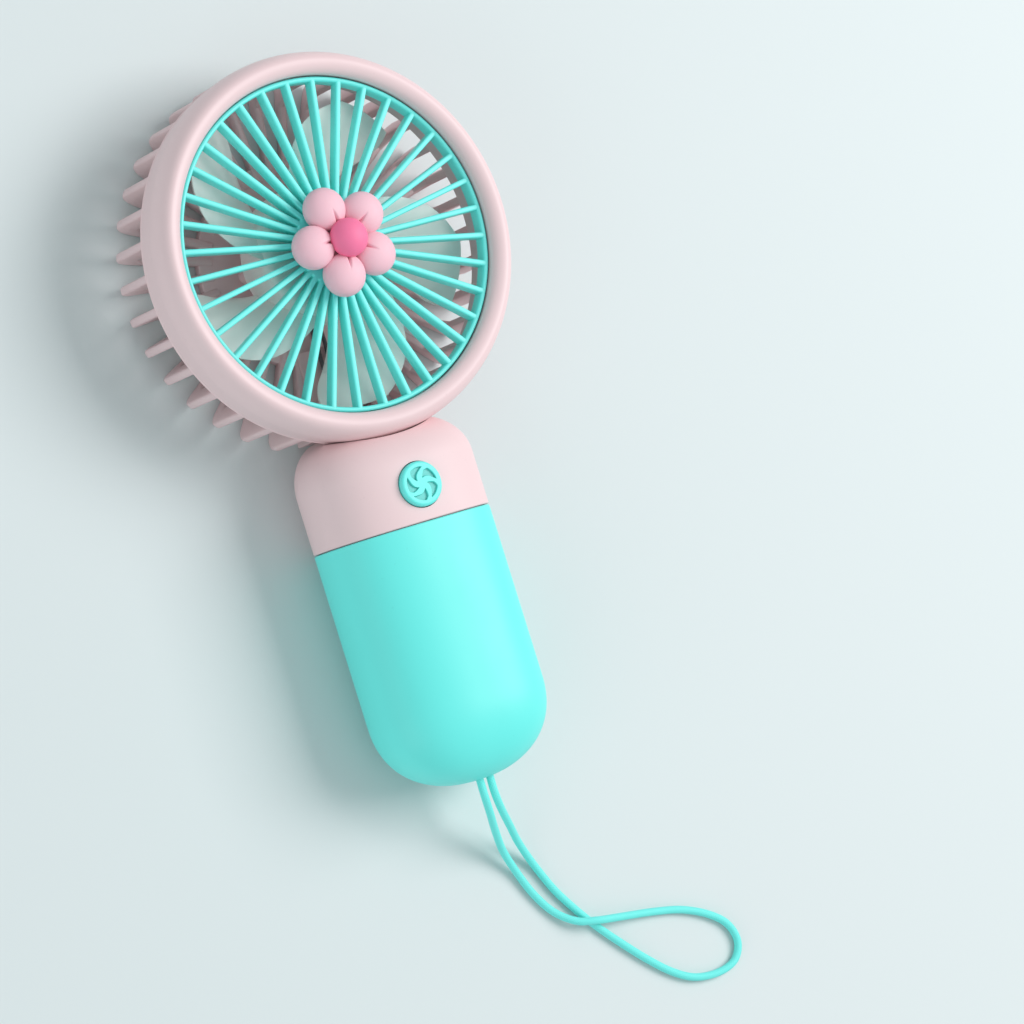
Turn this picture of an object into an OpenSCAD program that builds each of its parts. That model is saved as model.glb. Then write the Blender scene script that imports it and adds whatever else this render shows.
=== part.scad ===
// Handheld electric fan with a round head, a two-part handle and a wrist cord.
// It lies on its back: +Z comes out of the grille, +Y runs up the handle to the head.
// The origin is the middle of the fan's footprint, on the surface it lies on.

/* [Head] */
// Outside diameter of the front ring
ring_d = 98; // [80:1:120]
// Radial width of the ring's rounded face
ring_face_w = 6.4; // [5.6:0.2:9]
// Height of the ring's crest above the grille
ring_crest = 3; // [2:0.5:6]
// Length of the ring's side band, from the grille plane back
ring_band = 9.5; // [8:0.5:14]
// Depth of the head, from its back plane to the front of the grille
head_depth = 28; // [27:0.5:36]
// Number of grille spokes and of housing vanes
spoke_count = 36; // [24:1:40]
// Width of a grille spoke
spoke_w = 1.3; // [0.8:0.1:1.5]
// Depth of a grille spoke
spoke_t = 2.2; // [1.4:0.1:2.4]
// Diameter of the disc in the middle of the grille
grille_hub_d = 22; // [18:1:26]
// Thickness of a housing vane
vane_w = 2.2; // [1.4:0.1:2.6]
// Radius of the plate that closes the middle of the housing
plate_r = 26; // [22:1:30]

/* [Flower] */
// Radius of the circle that the petals stand on
petal_ring_r = 8.8; // [8:0.2:11]
// Radius of a petal
petal_r = 5.5; // [5:0.1:6.5]
// Half the height of a petal
petal_h = 4; // [3:0.2:5]
// Radius of the flower's centre bead
bead_r = 5; // [4:0.2:6]

/* [Impeller and motor] */
// Radius at the blade tips
blade_tip_r = 39.5; // [30:0.5:40]
// Outside radius of the impeller's hub
hub_r = 17.6; // [17:0.2:20]
// Number of blades
blade_count = 5; // [3:1:7]
// Diameter of the motor's steel can
motor_d = 24.4; // [20:0.1:25]
// Length of the motor's steel can
motor_l = 12.4; // [12:0.1:13]
// Diameter of the motor shaft
shaft_d = 2; // [1.5:0.1:2.3]

/* [Handle] */
// Width of the handle
handle_w = 46.4; // [42:0.2:58]
// Thickness of the handle
handle_t = 32; // [29:0.5:40]
// Length of the lower shell, from the seam to its round end
cup_len = 65; // [62:1:90]
// Gap along the handle from the seam to the ring
seam_to_ring = 23; // [20:0.5:30]
// Wall of both handle shells
wall = 1.8; // [1.4:0.1:2.4]
// Diameter of the button
button_d = 11.3; // [8:0.1:13]
// Distance from the seam up to the button's centre
button_up = 9; // [8.5:0.1:10]
// Travel of the button
button_travel = 0.5; // [0.3:0.1:0.8]
// Diameter of the cell, an 18500
cell_d = 18.4; // [14:0.1:18.6]
// Length of the cell
cell_l = 49.7; // [40:0.1:50]

/* [Wrist cord] */
// Diameter of the cord
cord_d = 2; // [1.4:0.1:2.4]

/* [Hidden] */
$fn = 64;
eps = 0.01;

// Named clearances
fit_gap = 0.1;
seat_gap = 0.2;
part_gap = 0.3;
run_gap = 0.02;

// Places along and across the fan
total_l = cup_len + seam_to_ring + ring_d;
y_pole = -total_l / 2;
y_seam = y_pole + cup_len;
y_head = total_l / 2 - ring_d / 2;
axis_z = handle_t / 2;

// Head levels and radii
ring_r = ring_d / 2;
grille_z = head_depth;
ring_top_z = grille_z + ring_crest;
band_z = grille_z - ring_band;
ring_inner_r = ring_r - ring_face_w;
ring_wall = 2.6;
rim_top_z = grille_z - 4;
rim_r = ring_r - ring_wall - seat_gap;
rim_wall = 3;
vane_out_r = ring_r - 0.5;
vane_in_r = rim_r - rim_wall + 0.4;
vane_corner = 4;
vane_floor = 3;
room_rise = 2.376;
room_x = sqrt(pow(vane_out_r, 2) - pow(vane_out_r - room_rise, 2));
plate_t = 2.5;
grille_rim_w = 1.3;
grille_flange = 1.1;

// Motor and impeller levels
motor_r = motor_d / 2;
motor_z = plate_t;
motor_top = motor_z + motor_l;
can_wall = 0.8;
bush_r = 3;
cup_wall = 1.5;
boss_r = 1.9;
boss_at = motor_r + seat_gap + 1.3;
retainer_t = 1.2;
hub_wall = 1.2;
hub_low = 9;
hub_floor_z = motor_top + retainer_t + 1.9;
hub_top_z = hub_floor_z + 4;
shaft_r = shaft_d / 2;
core_r = motor_r - 4.2;
shoe_t = 1.6;
magnet_in = core_r + 0.5;
magnet_out = motor_r - can_wall - fit_gap;
comm_r = 2.6;

// Handle levels and radii
section_n = 2.5;
end_n = 2.25;
half_w = handle_w / 2;
half_t = handle_t / 2;
end_len = 20.5;
shoulder_up = 14;
shoulder_r = 13;
back_r = 3;
lip_l = 4;
lip_w = 1.2;
board_t = 1.6;
board_z = axis_z - board_t;
board_low = y_seam - 1;
board_high = y_seam + 19;
board_w = handle_w - 9.4;
button_y = y_seam + button_up;
button_r = button_d / 2;
button_proud = 1.3;
flange_r = button_r + 1.1;
flange_t = 1;
flange_top = handle_t - wall - 0.9;
switch_h = 3.5;
plunger_top = axis_z + switch_h + 1.5;
usb_y = y_seam + 9;
usb_len = 7.3;
usb_w = 8.94;
usb_h = 3.2;
usb_x = half_w - wall - 0.3;
light_y = y_seam + 2;
tongue_w = 18;
tongue_z = 5;
tongue_t = 2.5;
tongue_low = y_seam + 13.5;
neck_y = y_seam + shoulder_up + shoulder_r + seat_gap;
duct_z = tongue_z + tongue_t + 1.4;
neck_w = 20;
neck_slot = tongue_w + 2 * seat_gap;
spine_w = 14;
spine_top = vane_floor + 0.4;
groove_w = 4.4;
groove_l = motor_r + seat_gap + 3;

// Screws
screw_r = 0.95;
pilot_r = 0.8;
clear_r = 1.15;
head_r = 1.7;
head_h = 1.2;
neck_screw_x = 6;
neck_screw_y = y_seam + 17;
board_screw_x = half_w - 10.2;
board_screw_y = y_seam + 15.5;
ear_x = half_w - 8.7;
ear_y = y_seam + 2.5;
ear_z = tongue_z + 3;

// Battery
cell_r = cell_d / 2;
cell_top = y_seam - 4.3;
cell_low = cell_top - cell_l;
carrier_gap = 0.15;
carrier_wall = 1.4;
carrier_end = 1.5;

// Cord: one loop that leaves the pole of the lower shell by two holes and lies on the floor.
// Its points run out of the left hole, round the loop, over itself and back into the right hole.
cord_r = cord_d / 2;
cord_x = 1.6;
cord_half = 1.5;
knot_r = 2.1;
cord_route = [
    [0.1, 4, axis_z], [0.1, 0, axis_z], [0.1, -4, axis_z - 0.1], [1.2, -8.5, 13.9],
    [3.6, -13.5, 9.3], [6.6, -19, 4.4], [9.8, -25, 1.7], [13, -32, 1.1], [17, -38, 1.3],
    [22, -42, 2.4], [27.5, -43.5, 3.3], [35, -44.7, 2.4], [45, -46.3, 1.3], [53, -48.2, 1.1],
    [60, -51.5, 1.1], [64.6, -55.5, 1.1], [66, -60.5, 1.1], [63.5, -64.8, 1.1],
    [58, -66.4, 1.1], [51, -65.6, 1.1], [45, -62.4, 1.1], [39, -57.2, 1.1], [33.3, -51.3, 1.1],
    [27.7, -45, 1.1], [23, -38.8, 1.1], [19, -32.5, 1.1], [15.4, -25, 1.5], [11.6, -18.5, 4.4],
    [8, -13.5, 9.3], [4.6, -8.5, 13.9], [3.1, -4, axis_z - 0.1], [3.1, 0, axis_z],
    [3.1, 4, axis_z]];

// The motor's leads: out under the motor, along the spine, through the neck and up to the board
lead_low = plate_t - 0.9;
lead_r = 0.55;
lead_up = spine_top + lead_r + 0.2;
motor_lead_points = [
    [5.3, y_head, lead_low], [4.6, y_head - 2.4, lead_low], [2.4, y_head - 5, lead_low],
    [1.2, y_head - 8, lead_low], [1.2, y_head - groove_l + 3.4, lead_low + 0.1],
    [1.2, y_head - groove_l - 1.6, lead_up],
    [1.2, y_head - 28, lead_up],
    [1.2, neck_y + 8, lead_up + 0.3], [1.2, neck_y + 4.6, duct_z - 0.3], [1.2, neck_y, duct_z],
    [1.2, neck_y - 6, duct_z], [1.2, board_high - 1, duct_z + 2.2],
    [1.2, board_high - 2.4, board_z - 1], [1.2, board_high - 2.6, board_z]];

// ---------- shapes that repeat ----------

// A superellipse quadrant power that keeps its sign.
function spow(v, n) = sign(v) * pow(abs(v), 2 / n);

// One section of the handle: [y, half width, half thickness, middle height].
function section(s, sides) = [
    for (i = [0 : sides - 1])
        [s[1] * spow(cos(360 * i / sides), section_n), s[0],
         s[3] + s[2] * spow(sin(360 * i / sides), section_n)]];

// The faces of a closed skin over rings of points, from the first ring to the capped last.
function skin(rows, sides, start, outward) = concat(
    [for (r = [0 : rows - 2])
        for (i = [0 : sides - 1])
            for (half = [0, 1])
                let (a = start + r * sides + i,
                     b = start + r * sides + (i + 1) % sides,
                     c = a + sides,
                     d = b + sides)
                    turned(half == 0 ? [a, c, b] : [b, c, d], outward)],
    [turned([for (i = [sides - 1 : -1 : 0]) start + (rows - 1) * sides + i], outward)]);
function turned(face, keep) = keep ? face : [for (i = [len(face) - 1 : -1 : 0]) face[i]];

// A cup: its outside and inside are sections that start at the open end and run to the
// closed end. up says whether they run up the handle.
module hollow(outside, inside, up, sides = 40) {
    points = concat([for (s = outside) each section(s, sides)],
                    [for (s = inside) each section(s, sides)]);
    inner = len(outside) * sides;
    rim = [for (i = [0 : sides - 1])
        for (half = [0, 1])
            let (a = i, b = (i + 1) % sides, c = inner + a, d = inner + b)
                turned(half == 0 ? [a, b, c] : [b, d, c], !up)];
    polyhedron(points, concat(skin(len(outside), sides, 0, !up),
        skin(len(inside), sides, inner, up), rim), convexity = 6);
}

// One straight section of the handle, made smaller all round by inset.
function straight(y, inset) = [y, half_w - inset, half_t - inset, axis_z];

// The lower shell from its mouth to its round end.
function cup_sections(inset) = concat(
    [straight(y_seam, inset)],
    [for (a = [0 : 10 : 80])
        [y_pole + end_len - (end_len - inset) * pow(sin(a), 2 / end_n),
         (half_w - inset) * pow(cos(a), 2 / end_n),
         (half_t - inset) * pow(cos(a), 2 / end_n), axis_z]],
    [[y_pole + inset, (half_w - inset) * 0.09, (half_t - inset) * 0.09, axis_z]]);

// The collar's shoulder keeps its flat back and rounds over at the front and the sides.
function shoulder_sections(inset, top_angle, steps) = [
    for (k = [0 : steps])
        let (a = top_angle * k / steps,
             front = handle_t - inset - (half_t - inset) * (1 - cos(a)),
             back = inset + back_r * (1 - cos(a)))
            [y_seam + shoulder_up + (shoulder_r - inset) * sin(a),
             half_w - inset - (shoulder_r - inset) * (1 - cos(a)),
             (front - back) / 2, (front + back) / 2]];

// A round tube that follows points, with square ends. First comes the vector maths.
function unit(v) = v / max(norm(v), 1e-9);
function along(p, i) = unit(p[min(i + 1, len(p) - 1)] - p[max(i - 1, 0)]);
function side_of(t, up) = unit(cross(t, abs(t * up) > 0.9 ? [1, 0, 0] : up));

module tube(points, r, sides = 8) {
    n = len(points);
    rings = [
        for (i = [0 : n - 1])
            let (t = along(points, i), u = side_of(t, [0, 0, 1]), v = cross(u, t))
                for (k = [0 : sides - 1])
                    points[i] + r * (cos(360 * k / sides) * u + sin(360 * k / sides) * v)];
    walls = [
        for (i = [0 : n - 2])
            for (k = [0 : sides - 1])
                for (half = [0, 1])
                    let (a = i * sides + k,
                         b = i * sides + (k + 1) % sides,
                         c = a + sides,
                         d = b + sides)
                        half == 0 ? [a, b, c] : [b, d, c]];
    first = [for (k = [sides - 1 : -1 : 0]) k];
    last = [for (k = [0 : sides - 1]) (n - 1) * sides + k];
    polyhedron(rings, concat(walls, [first, last]), convexity = 6);
}

// A smooth curve through points: steps pieces from each point to the next.
function knot_at(p, i) = p[max(0, min(len(p) - 1, i))];
function between(p, i, u) =
    let (a = knot_at(p, i - 1), b = knot_at(p, i), c = knot_at(p, i + 1), d = knot_at(p, i + 2))
        0.5 * (2 * b + (c - a) * u + (2 * a - 5 * b + 4 * c - d) * u * u
            + (3 * b - a - 3 * c + d) * u * u * u);
function smooth(p, steps) = concat(
    [for (i = [0 : len(p) - 2]) for (k = [0 : steps - 1]) between(p, i, k / steps)],
    [p[len(p) - 1]]);

// A round shell between two radii, standing on z = low.
module pipe(outer, inner, low, high) {
    translate([0, 0, low])
        difference() {
            cylinder(r = outer, h = high - low);
            translate([0, 0, -1]) cylinder(r = inner, h = high - low + 2);
        }
}

// A pan-head screw whose head sits on z = seat and whose shank points down.
module screw(x, y, seat, length) {
    translate([x, y, seat]) {
        difference() {
            cylinder(r = head_r, h = head_h);
            for (turn = [0, 90])
                rotate([0, 0, turn])
                    translate([-head_r * 0.6, -0.25, head_h - 0.6])
                        cube([head_r * 1.2, 0.5, 1]);
        }
        translate([0, 0, -length]) cylinder(r = screw_r, h = length + eps);
    }
}

// ---------- head ----------

module front_ring() {
    crest_r = ring_inner_r + ring_face_w * 0.5;
    edge_z = grille_z + 0.3;
    outer_arc = [for (a = [0 : 10 : 90])
        [crest_r + (ring_r - crest_r) * cos(a), rim_top_z + 0.5
            + (ring_top_z - rim_top_z - 0.5) * sin(a)]];
    inner_arc = [for (a = [80 : -10 : 0])
        [crest_r - (crest_r - ring_inner_r) * cos(a), edge_z + (ring_top_z - edge_z) * sin(a)]];
    seat_z = rim_top_z + seat_gap + grille_flange + fit_gap;
    color("mistyrose")
        translate([0, y_head, 0])
            rotate_extrude($fn = 96)
                polygon(concat([[ring_r, band_z]], outer_arc, inner_arc,
                    [[ring_inner_r, seat_z],
                     [ring_inner_r + 2.1, seat_z],
                     [ring_inner_r + 2.1, rim_top_z + fit_gap],
                     [ring_r - ring_wall, rim_top_z + fit_gap],
                     [ring_r - ring_wall, band_z]]));
}

module front_grille() {
    low = rim_top_z + seat_gap;
    rim_out = ring_inner_r - seat_gap;
    rim_in = rim_out - grille_rim_w;
    hub_r1 = grille_hub_d / 2;
    color("turquoise")
        translate([0, y_head, 0]) {
            pipe(rim_out, rim_in, low, grille_z - 0.1);
            pipe(ring_inner_r + 1.9, rim_in, low, low + grille_flange);
            translate([0, 0, grille_z - spoke_t - 0.6]) cylinder(r = hub_r1, h = spoke_t + 0.4);
            for (i = [0 : spoke_count - 1])
                rotate([0, 0, 360 * i / spoke_count])
                    translate([hub_r1 - 0.6, -spoke_w / 2, grille_z - spoke_t - 0.2])
                        cube([rim_in - hub_r1 + 1.1, spoke_w, spoke_t]);
        }
}

// One petal: a flattened ball whose flat ring lies in the XY plane.
module petal() {
    rotate_extrude($fn = 32)
        polygon(concat(
            [for (a = [-90 : 15 : 90]) [petal_r * cos(a), petal_h * sin(a)]]));
}

module flower_petals() {
    color("pink")
        translate([0, y_head, grille_z - 0.2]) {
            cylinder(r = petal_ring_r * 0.8, h = petal_h);
            for (i = [0 : 4])
                rotate([0, 0, 36 + 72 * i])
                    translate([petal_ring_r, 0, petal_h])
                        petal();
        }
}

module flower_centre() {
    base_z = grille_z - 0.2 + petal_h;
    bead_z = base_z + petal_h * 0.75;
    color("hotpink")
        translate([0, y_head, 0]) {
            translate([0, 0, base_z]) cylinder(r = 3, h = bead_z - base_z + eps);
            translate([0, 0, bead_z])
                rotate_extrude($fn = 32)
                    polygon(concat([[0, 0]],
                        [for (a = [0 : 15 : 90]) [bead_r * cos(a), bead_r * 0.8 * sin(a)]]));
        }
}

// Blade sections: the chord turns flatter and falls back as the radius grows.
function blade_point(r, u, v) =
    let (t = (r - hub_r) / (blade_tip_r - hub_r),
         arc = 24 - 5 * t,
         sweep = 14 - 28 * t,
         rise = 5.2 - 1.4 * t,
         a = sweep + arc * u,
         thick = (0.9 - 0.3 * t) * (1 - 0.75 * u * u))
        [r * cos(a), r * sin(a), rise * u + 1.2 * (1 - u * u) + v * thick];

module blade() {
    radii = [for (k = [0 : 6]) hub_r - 0.9 + (blade_tip_r - hub_r + 0.9) * k / 6];
    across = [for (k = [-4 : 4]) k / 4];
    n = 18;
    points = [for (r = radii) concat(
        [for (u = across) blade_point(r, tip_round(r, u), 1)],
        [for (k = [8 : -1 : 0]) blade_point(r, tip_round(r, across[k]), -1)])];
    flat = [for (row = points) each row];
    rows = len(radii);
    walls = [
        for (i = [0 : rows - 2])
            for (k = [0 : n - 1])
                for (half = [0, 1])
                    let (a = i * n + k,
                         b = i * n + (k + 1) % n,
                         c = a + n,
                         d = b + n)
                        half == 0 ? [a, b, c] : [b, d, c]];
    root = [for (k = [0 : 7]) for (half = [0, 1])
        half == 0 ? [k, 17 - k, k + 1] : [k + 1, 17 - k, 16 - k]];
    tip = [for (k = [0 : 7]) for (half = [0, 1])
        let (o = (rows - 1) * n)
            half == 0 ? [o + k, o + k + 1, o + 17 - k] : [o + k + 1, o + 16 - k, o + 17 - k]];
    polyhedron(flat, concat(walls, root, tip), convexity = 4);
}

// The tip's corners are rounded off by drawing the chord in.
function tip_round(r, u) =
    let (t = max(0, (r - blade_tip_r + 9) / 9))
        u * (1 - 0.4 * t * t);

module impeller() {
    mid_z = (hub_low + hub_top_z) / 2;
    color("gainsboro")
        translate([0, y_head, 0]) {
            rotate_extrude($fn = 96)
                polygon([[hub_r - hub_wall, hub_low], [hub_r, hub_low],
                    [hub_r, hub_top_z - 4], [hub_r - 0.8, hub_top_z - 2],
                    [hub_r - 2.6, hub_top_z - 0.6], [hub_r - 5, hub_top_z],
                    [shaft_r, hub_top_z], [shaft_r, hub_floor_z - 1.2],
                    [3.2, hub_floor_z - 1.2], [3.2, hub_floor_z],
                    [hub_r - hub_wall, hub_floor_z]]);
            for (i = [0 : blade_count - 1])
                rotate([0, 0, 360 * i / blade_count - 7])
                    translate([0, 0, mid_z])
                        blade();
        }
}

module motor_shaft() {
    color("silver")
        translate([0, y_head, plate_t - 0.9])
            cylinder(r = shaft_r, h = hub_top_z - 0.5 - plate_t + 0.9);
}

// Levels inside the motor
comm_low = motor_z + 3.2;
comm_high = comm_low + 2;
core_low = comm_high + 1.3;
core_high = motor_top - can_wall - 2;

module armature_core() {
    color("dimgray")
        translate([0, y_head, core_low])
            difference() {
                union() {
                    cylinder(r = 2.4, h = core_high - core_low);
                    for (i = [0 : 2])
                        rotate([0, 0, 120 * i])
                            translate([0, -1.2, 0])
                                cube([core_r - 0.8, 2.4, core_high - core_low]);
                    for (i = [0 : 2])
                        rotate([0, 0, 120 * i - 46])
                            rotate_extrude(angle = 92)
                                translate([core_r - shoe_t, 0])
                                    square([shoe_t, core_high - core_low]);
                }
                translate([0, 0, -1]) cylinder(r = shaft_r, h = core_high - core_low + 2);
            }
}

module armature_windings() {
    over = 0.7;
    coil_w = 4.2;
    coil_in = 2.9;
    coil_out = sqrt(pow(core_r - shoe_t, 2) - pow(coil_w / 2, 2)) + 0.15;
    color("chocolate")
        translate([0, y_head, core_low - over])
            for (i = [0 : 2])
                rotate([0, 0, 120 * i])
                    difference() {
                        translate([coil_in, -coil_w / 2, 0])
                            cube([coil_out - coil_in, coil_w, core_high - core_low + 2 * over]);
                        translate([2, -1.25, over - 0.05])
                            cube([core_r, 2.5, core_high - core_low + 0.1]);
                    }
}

module commutator() {
    color("peru")
        translate([0, y_head, 0]) pipe(comm_r, shaft_r, comm_low, comm_high);
}

module motor_can() {
    color("lightsteelblue")
        translate([0, y_head, 0])
            difference() {
                translate([0, 0, motor_z]) cylinder(r = motor_r, h = motor_l);
                translate([0, 0, motor_z - 1])
                    cylinder(r = motor_r - can_wall, h = motor_l - can_wall + 1);
                translate([0, 0, motor_top - 2]) cylinder(r = bush_r, h = 4);
            }
}

module motor_magnets() {
    color("darkslategray")
        translate([0, y_head, core_low - 0.6])
            for (i = [0, 1])
                rotate([0, 0, 180 * i - 68])
                    rotate_extrude(angle = 136)
                        translate([magnet_in, 0])
                            square([magnet_out - magnet_in, core_high - core_low + 1.2]);
}

module motor_end_bell() {
    bell_r = motor_r - can_wall - fit_gap;
    color("white")
        translate([0, y_head, 0])
            difference() {
                union() {
                    translate([0, 0, motor_z]) cylinder(r = bell_r, h = 1.6);
                    pipe(bell_r, bell_r - 1.2, motor_z, comm_high + 0.4);
                }
                translate([0, 0, motor_z - 1]) cylinder(r = bush_r - 0.8, h = 4);
                for (side = [-1, 1])
                    translate([side * 6 - 0.9, -1.6, motor_z - 1]) cube([1.8, 3.2, 4]);
            }
}

module motor_brushes() {
    color("saddlebrown")
        translate([0, y_head, 0])
            for (turn = [0, 180])
                rotate([0, 0, turn])
                    translate([comm_r + part_gap, -0.9, comm_low + 0.3])
                        cube([3, 1.8, 1.4]);
}

module motor_terminals() {
    color("gold")
        translate([0, y_head, 0])
            for (turn = [0, 180])
                rotate([0, 0, turn]) {
                    translate([5.6, -1.5, plate_t - 1.2])
                        cube([0.5, 3, comm_low - plate_t + 2.9]);
                    translate([comm_r + part_gap + 2.6, -0.5, comm_low + 0.5])
                        cube([0.6, 1, 1]);
                }
}

module front_bush() {
    color("goldenrod")
        translate([0, y_head, 0])
            pipe(bush_r, shaft_r + run_gap, motor_top - can_wall - 0.8, motor_top + 0.9);
}

module rear_bush() {
    color("goldenrod")
        translate([0, y_head, 0])
            pipe(bush_r - 0.8, shaft_r + run_gap, motor_z, motor_z + 2.4);
}

module motor_retainer() {
    color("lavender")
        translate([0, y_head, 0])
            difference() {
                translate([0, 0, motor_top]) {
                    cylinder(r = motor_r, h = retainer_t);
                    for (side = [-1, 1])
                        translate([side * boss_at, 0, 0]) cylinder(r = boss_r, h = retainer_t);
                }
                translate([0, 0, motor_top - 1]) cylinder(r = bush_r + 3, h = 4);
                for (side = [-1, 1])
                    translate([side * boss_at, 0, motor_top - 1]) cylinder(r = clear_r, h = 4);
            }
}

module retainer_screws() {
    color("silver")
        for (side = [-1, 1])
            screw(side * boss_at, y_head, motor_top + retainer_t, 6);
}

// The outline of one vane: down the side, round the corner and in along the back.
module vane() {
    corner = [for (a = [0 : 15 : 90])
        [vane_out_r - vane_corner + vane_corner * cos(a), vane_corner - vane_corner * sin(a)]];
    rotate([90, 0, 0])
        translate([0, 0, -vane_w / 2])
            linear_extrude(vane_w)
                polygon(concat([[vane_out_r, band_z - 0.1]], corner,
                    [[plate_r - 4, 0], [plate_r - 4, vane_floor],
                     [vane_in_r - 3, vane_floor], [vane_in_r, vane_floor + 3],
                     [vane_in_r, band_z - 0.1]]));
}

module rear_housing() {
    neck_back = neck_y - y_head;
    cup_r = motor_r + seat_gap;
    color("rosybrown")
        difference() {
            translate([0, y_head, 0])
                union() {
                    cylinder(r = plate_r, h = plate_t);
                    pipe(rim_r, rim_r - rim_wall, band_z - 2, rim_top_z);
                    pipe(cup_r + cup_wall, cup_r, plate_t - eps, motor_top);
                    for (side = [-1, 1])
                        translate([side * boss_at, 0, plate_t - eps])
                            difference() {
                                cylinder(r = boss_r, h = motor_top - plate_t + eps);
                                translate([-side * boss_at, 0, -1]) cylinder(r = cup_r, h = 20);
                            }
                    for (i = [0 : spoke_count - 1])
                        rotate([0, 0, 360 * (i + 0.5) / spoke_count])
                            vane();
                    translate([-spine_w / 2, neck_back + 1, 0.3])
                        cube([spine_w, 3 - neck_back - plate_r, spine_top - 0.3]);
                }
            // Room for the collar's rounded top
            translate([-room_x, y_seam, -1]) cube([2 * room_x, neck_y - y_seam, band_z + 2]);
            // Pocket under the motor, the leads' groove and the slot in the motor's cup
            translate([0, y_head, plate_t - 1.6]) cylinder(r = 8, h = 4);
            translate([-groove_w / 2, y_head - groove_l, plate_t - 1.6])
                cube([groove_w, groove_l, 3.6]);
            // Pilot holes for the retainer's screws
            for (side = [-1, 1])
                translate([side * boss_at, y_head, motor_top - 7]) cylinder(r = pilot_r, h = 10);
        }
    color("rosybrown")
        difference() {
            union() {
                translate([-neck_w / 2, neck_y, 0]) cube([neck_w, 4, band_z - 1]);
                translate([-tongue_w / 2, tongue_low, tongue_z])
                    cube([tongue_w, neck_y - tongue_low + 1, tongue_t]);
            }
            // Duct for the motor's leads
            translate([-groove_w / 2, neck_y - 1, duct_z - 1.2]) cube([groove_w, 6, 2.6]);
            for (side = [-1, 1])
                translate([side * neck_screw_x, neck_screw_y, 0]) cylinder(r = clear_r, h = 20);
        }
}

// Two wires side by side, each a mirror of the other across the fan's middle.
module lead_pair(points) {
    for (side = [-1, 1])
        tube(smooth([for (p = points) [side * p[0], p[1], p[2]]], 3), lead_r);
}

module motor_leads() {
    color("firebrick")
        lead_pair(motor_lead_points);
}

module neck_screws() {
    color("silver")
        for (side = [-1, 1])
            screw(side * neck_screw_x, neck_screw_y, tongue_z + tongue_t, 6.5);
}

// ---------- handle ----------

// Middle of the collar's back wall at a distance x from the handle's axis.
function back_z(x) = axis_z - (half_t - wall / 2)
    * pow(1 - pow(x / (half_w - wall / 2), section_n), 1 / section_n);

// A post on the collar's back wall with a pilot hole from its top.
module post(x, y, high) {
    low = back_z(abs(x));
    translate([x, y, low])
        difference() {
            cylinder(r = 2.3, h = high - low);
            translate([0, 0, max(0.6, high - low - 5)]) cylinder(r = pilot_r, h = 20);
        }
}

// The USB-C outline, with its round ends drawn as short flats, extruded along X.
module usb_shape(grow, x, length) {
    r = usb_h / 2 + grow;
    end = (usb_w - usb_h) / 2;
    translate([x, usb_y, axis_z + usb_h / 2])
        rotate([90, 0, 90])
            linear_extrude(length)
                polygon(concat(
                    [for (a = [-90 : 22.5 : 90]) [end + r * cos(a), r * sin(a)]],
                    [for (a = [90 : 22.5 : 270]) [r * cos(a) - end, r * sin(a)]]));
}

module collar() {
    lip_in = wall + fit_gap;
    cavity_top = asin((seam_to_ring - 2 * wall - shoulder_up) / (shoulder_r - wall));
    color("mistyrose")
        difference() {
            union() {
                hollow(
                    concat([straight(y_seam - lip_l, lip_in), straight(y_seam, lip_in),
                            straight(y_seam, 0)],
                           shoulder_sections(0, 90, 8)),
                    concat([straight(y_seam - lip_l, lip_in + lip_w),
                            straight(y_seam + 1.5, lip_in + lip_w),
                            straight(y_seam + 1.5, wall)],
                           shoulder_sections(wall, cavity_top, 4)),
                    true);
                for (side = [-1, 1]) {
                    post(side * neck_screw_x, neck_screw_y, tongue_z);
                    post(side * board_screw_x, board_screw_y, board_z);
                    post(side * ear_x, ear_y, ear_z);
                }
            }
            // Scoop where the front ring sits
            translate([0, y_head, band_z - seat_gap])
                cylinder(r = ring_r + seat_gap, h = 30, $fn = 96);
            // Opening for the neck and the leads
            translate([-neck_slot / 2, y_seam + 18.6, tongue_z - seat_gap])
                cube([neck_slot, 20, duct_z + 1.6 - tongue_z + seat_gap]);
            // Button bore, charging port and charge light window
            translate([0, button_y, axis_z]) cylinder(r = button_r + fit_gap, h = half_t + 5);
            usb_shape(seat_gap, half_w - wall - 2, wall + 4);
            translate([half_w - 5, light_y, axis_z + 0.6]) rotate([0, 90, 0]) cylinder(r = 0.8, h = 8);
        }
}

// The swirl on the button: bent teardrops around the middle, cut into the face.
module swirl_cut() {
    for (i = [0 : 4])
        rotate([0, 0, 72 * i + 20])
            difference() {
                translate([button_r * 0.40, button_r * 0.02, 0]) cylinder(r = button_r * 0.36, h = 2);
                translate([button_r * 0.28, button_r * 0.28, -1]) cylinder(r = button_r * 0.40, h = 4);
            }
}

module button_cap() {
    top = handle_t + button_proud;
    color("turquoise")
        translate([0, button_y, 0])
            difference() {
                union() {
                    translate([0, 0, flange_top - flange_t])
                        cylinder(r = flange_r, h = flange_t);
                    translate([0, 0, flange_top - eps])
                        cylinder(r = button_r, h = top - 0.5 - flange_top + eps);
                    translate([0, 0, top - 0.5])
                        cylinder(r1 = button_r, r2 = button_r - 0.5, h = 0.5);
                    translate([0, 0, plunger_top])
                        cylinder(r = 2, h = flange_top - plunger_top);
                }
                translate([0, 0, top - 0.5]) swirl_cut();
            }
}

module switch_plunger() {
    color("black")
        translate([0, button_y, axis_z + switch_h - 0.9])
            cylinder(r = 1.5, h = plunger_top - axis_z - switch_h + 0.9);
}

module switch_body() {
    color("dimgray")
        difference() {
            translate([-2.25, button_y - 2.25, axis_z]) cube([4.5, 4.5, switch_h]);
            translate([0, button_y, axis_z + switch_h - 0.9 - button_travel - 0.3])
                cylinder(r = 1.5 + fit_gap, h = 4);
        }
}

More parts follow.
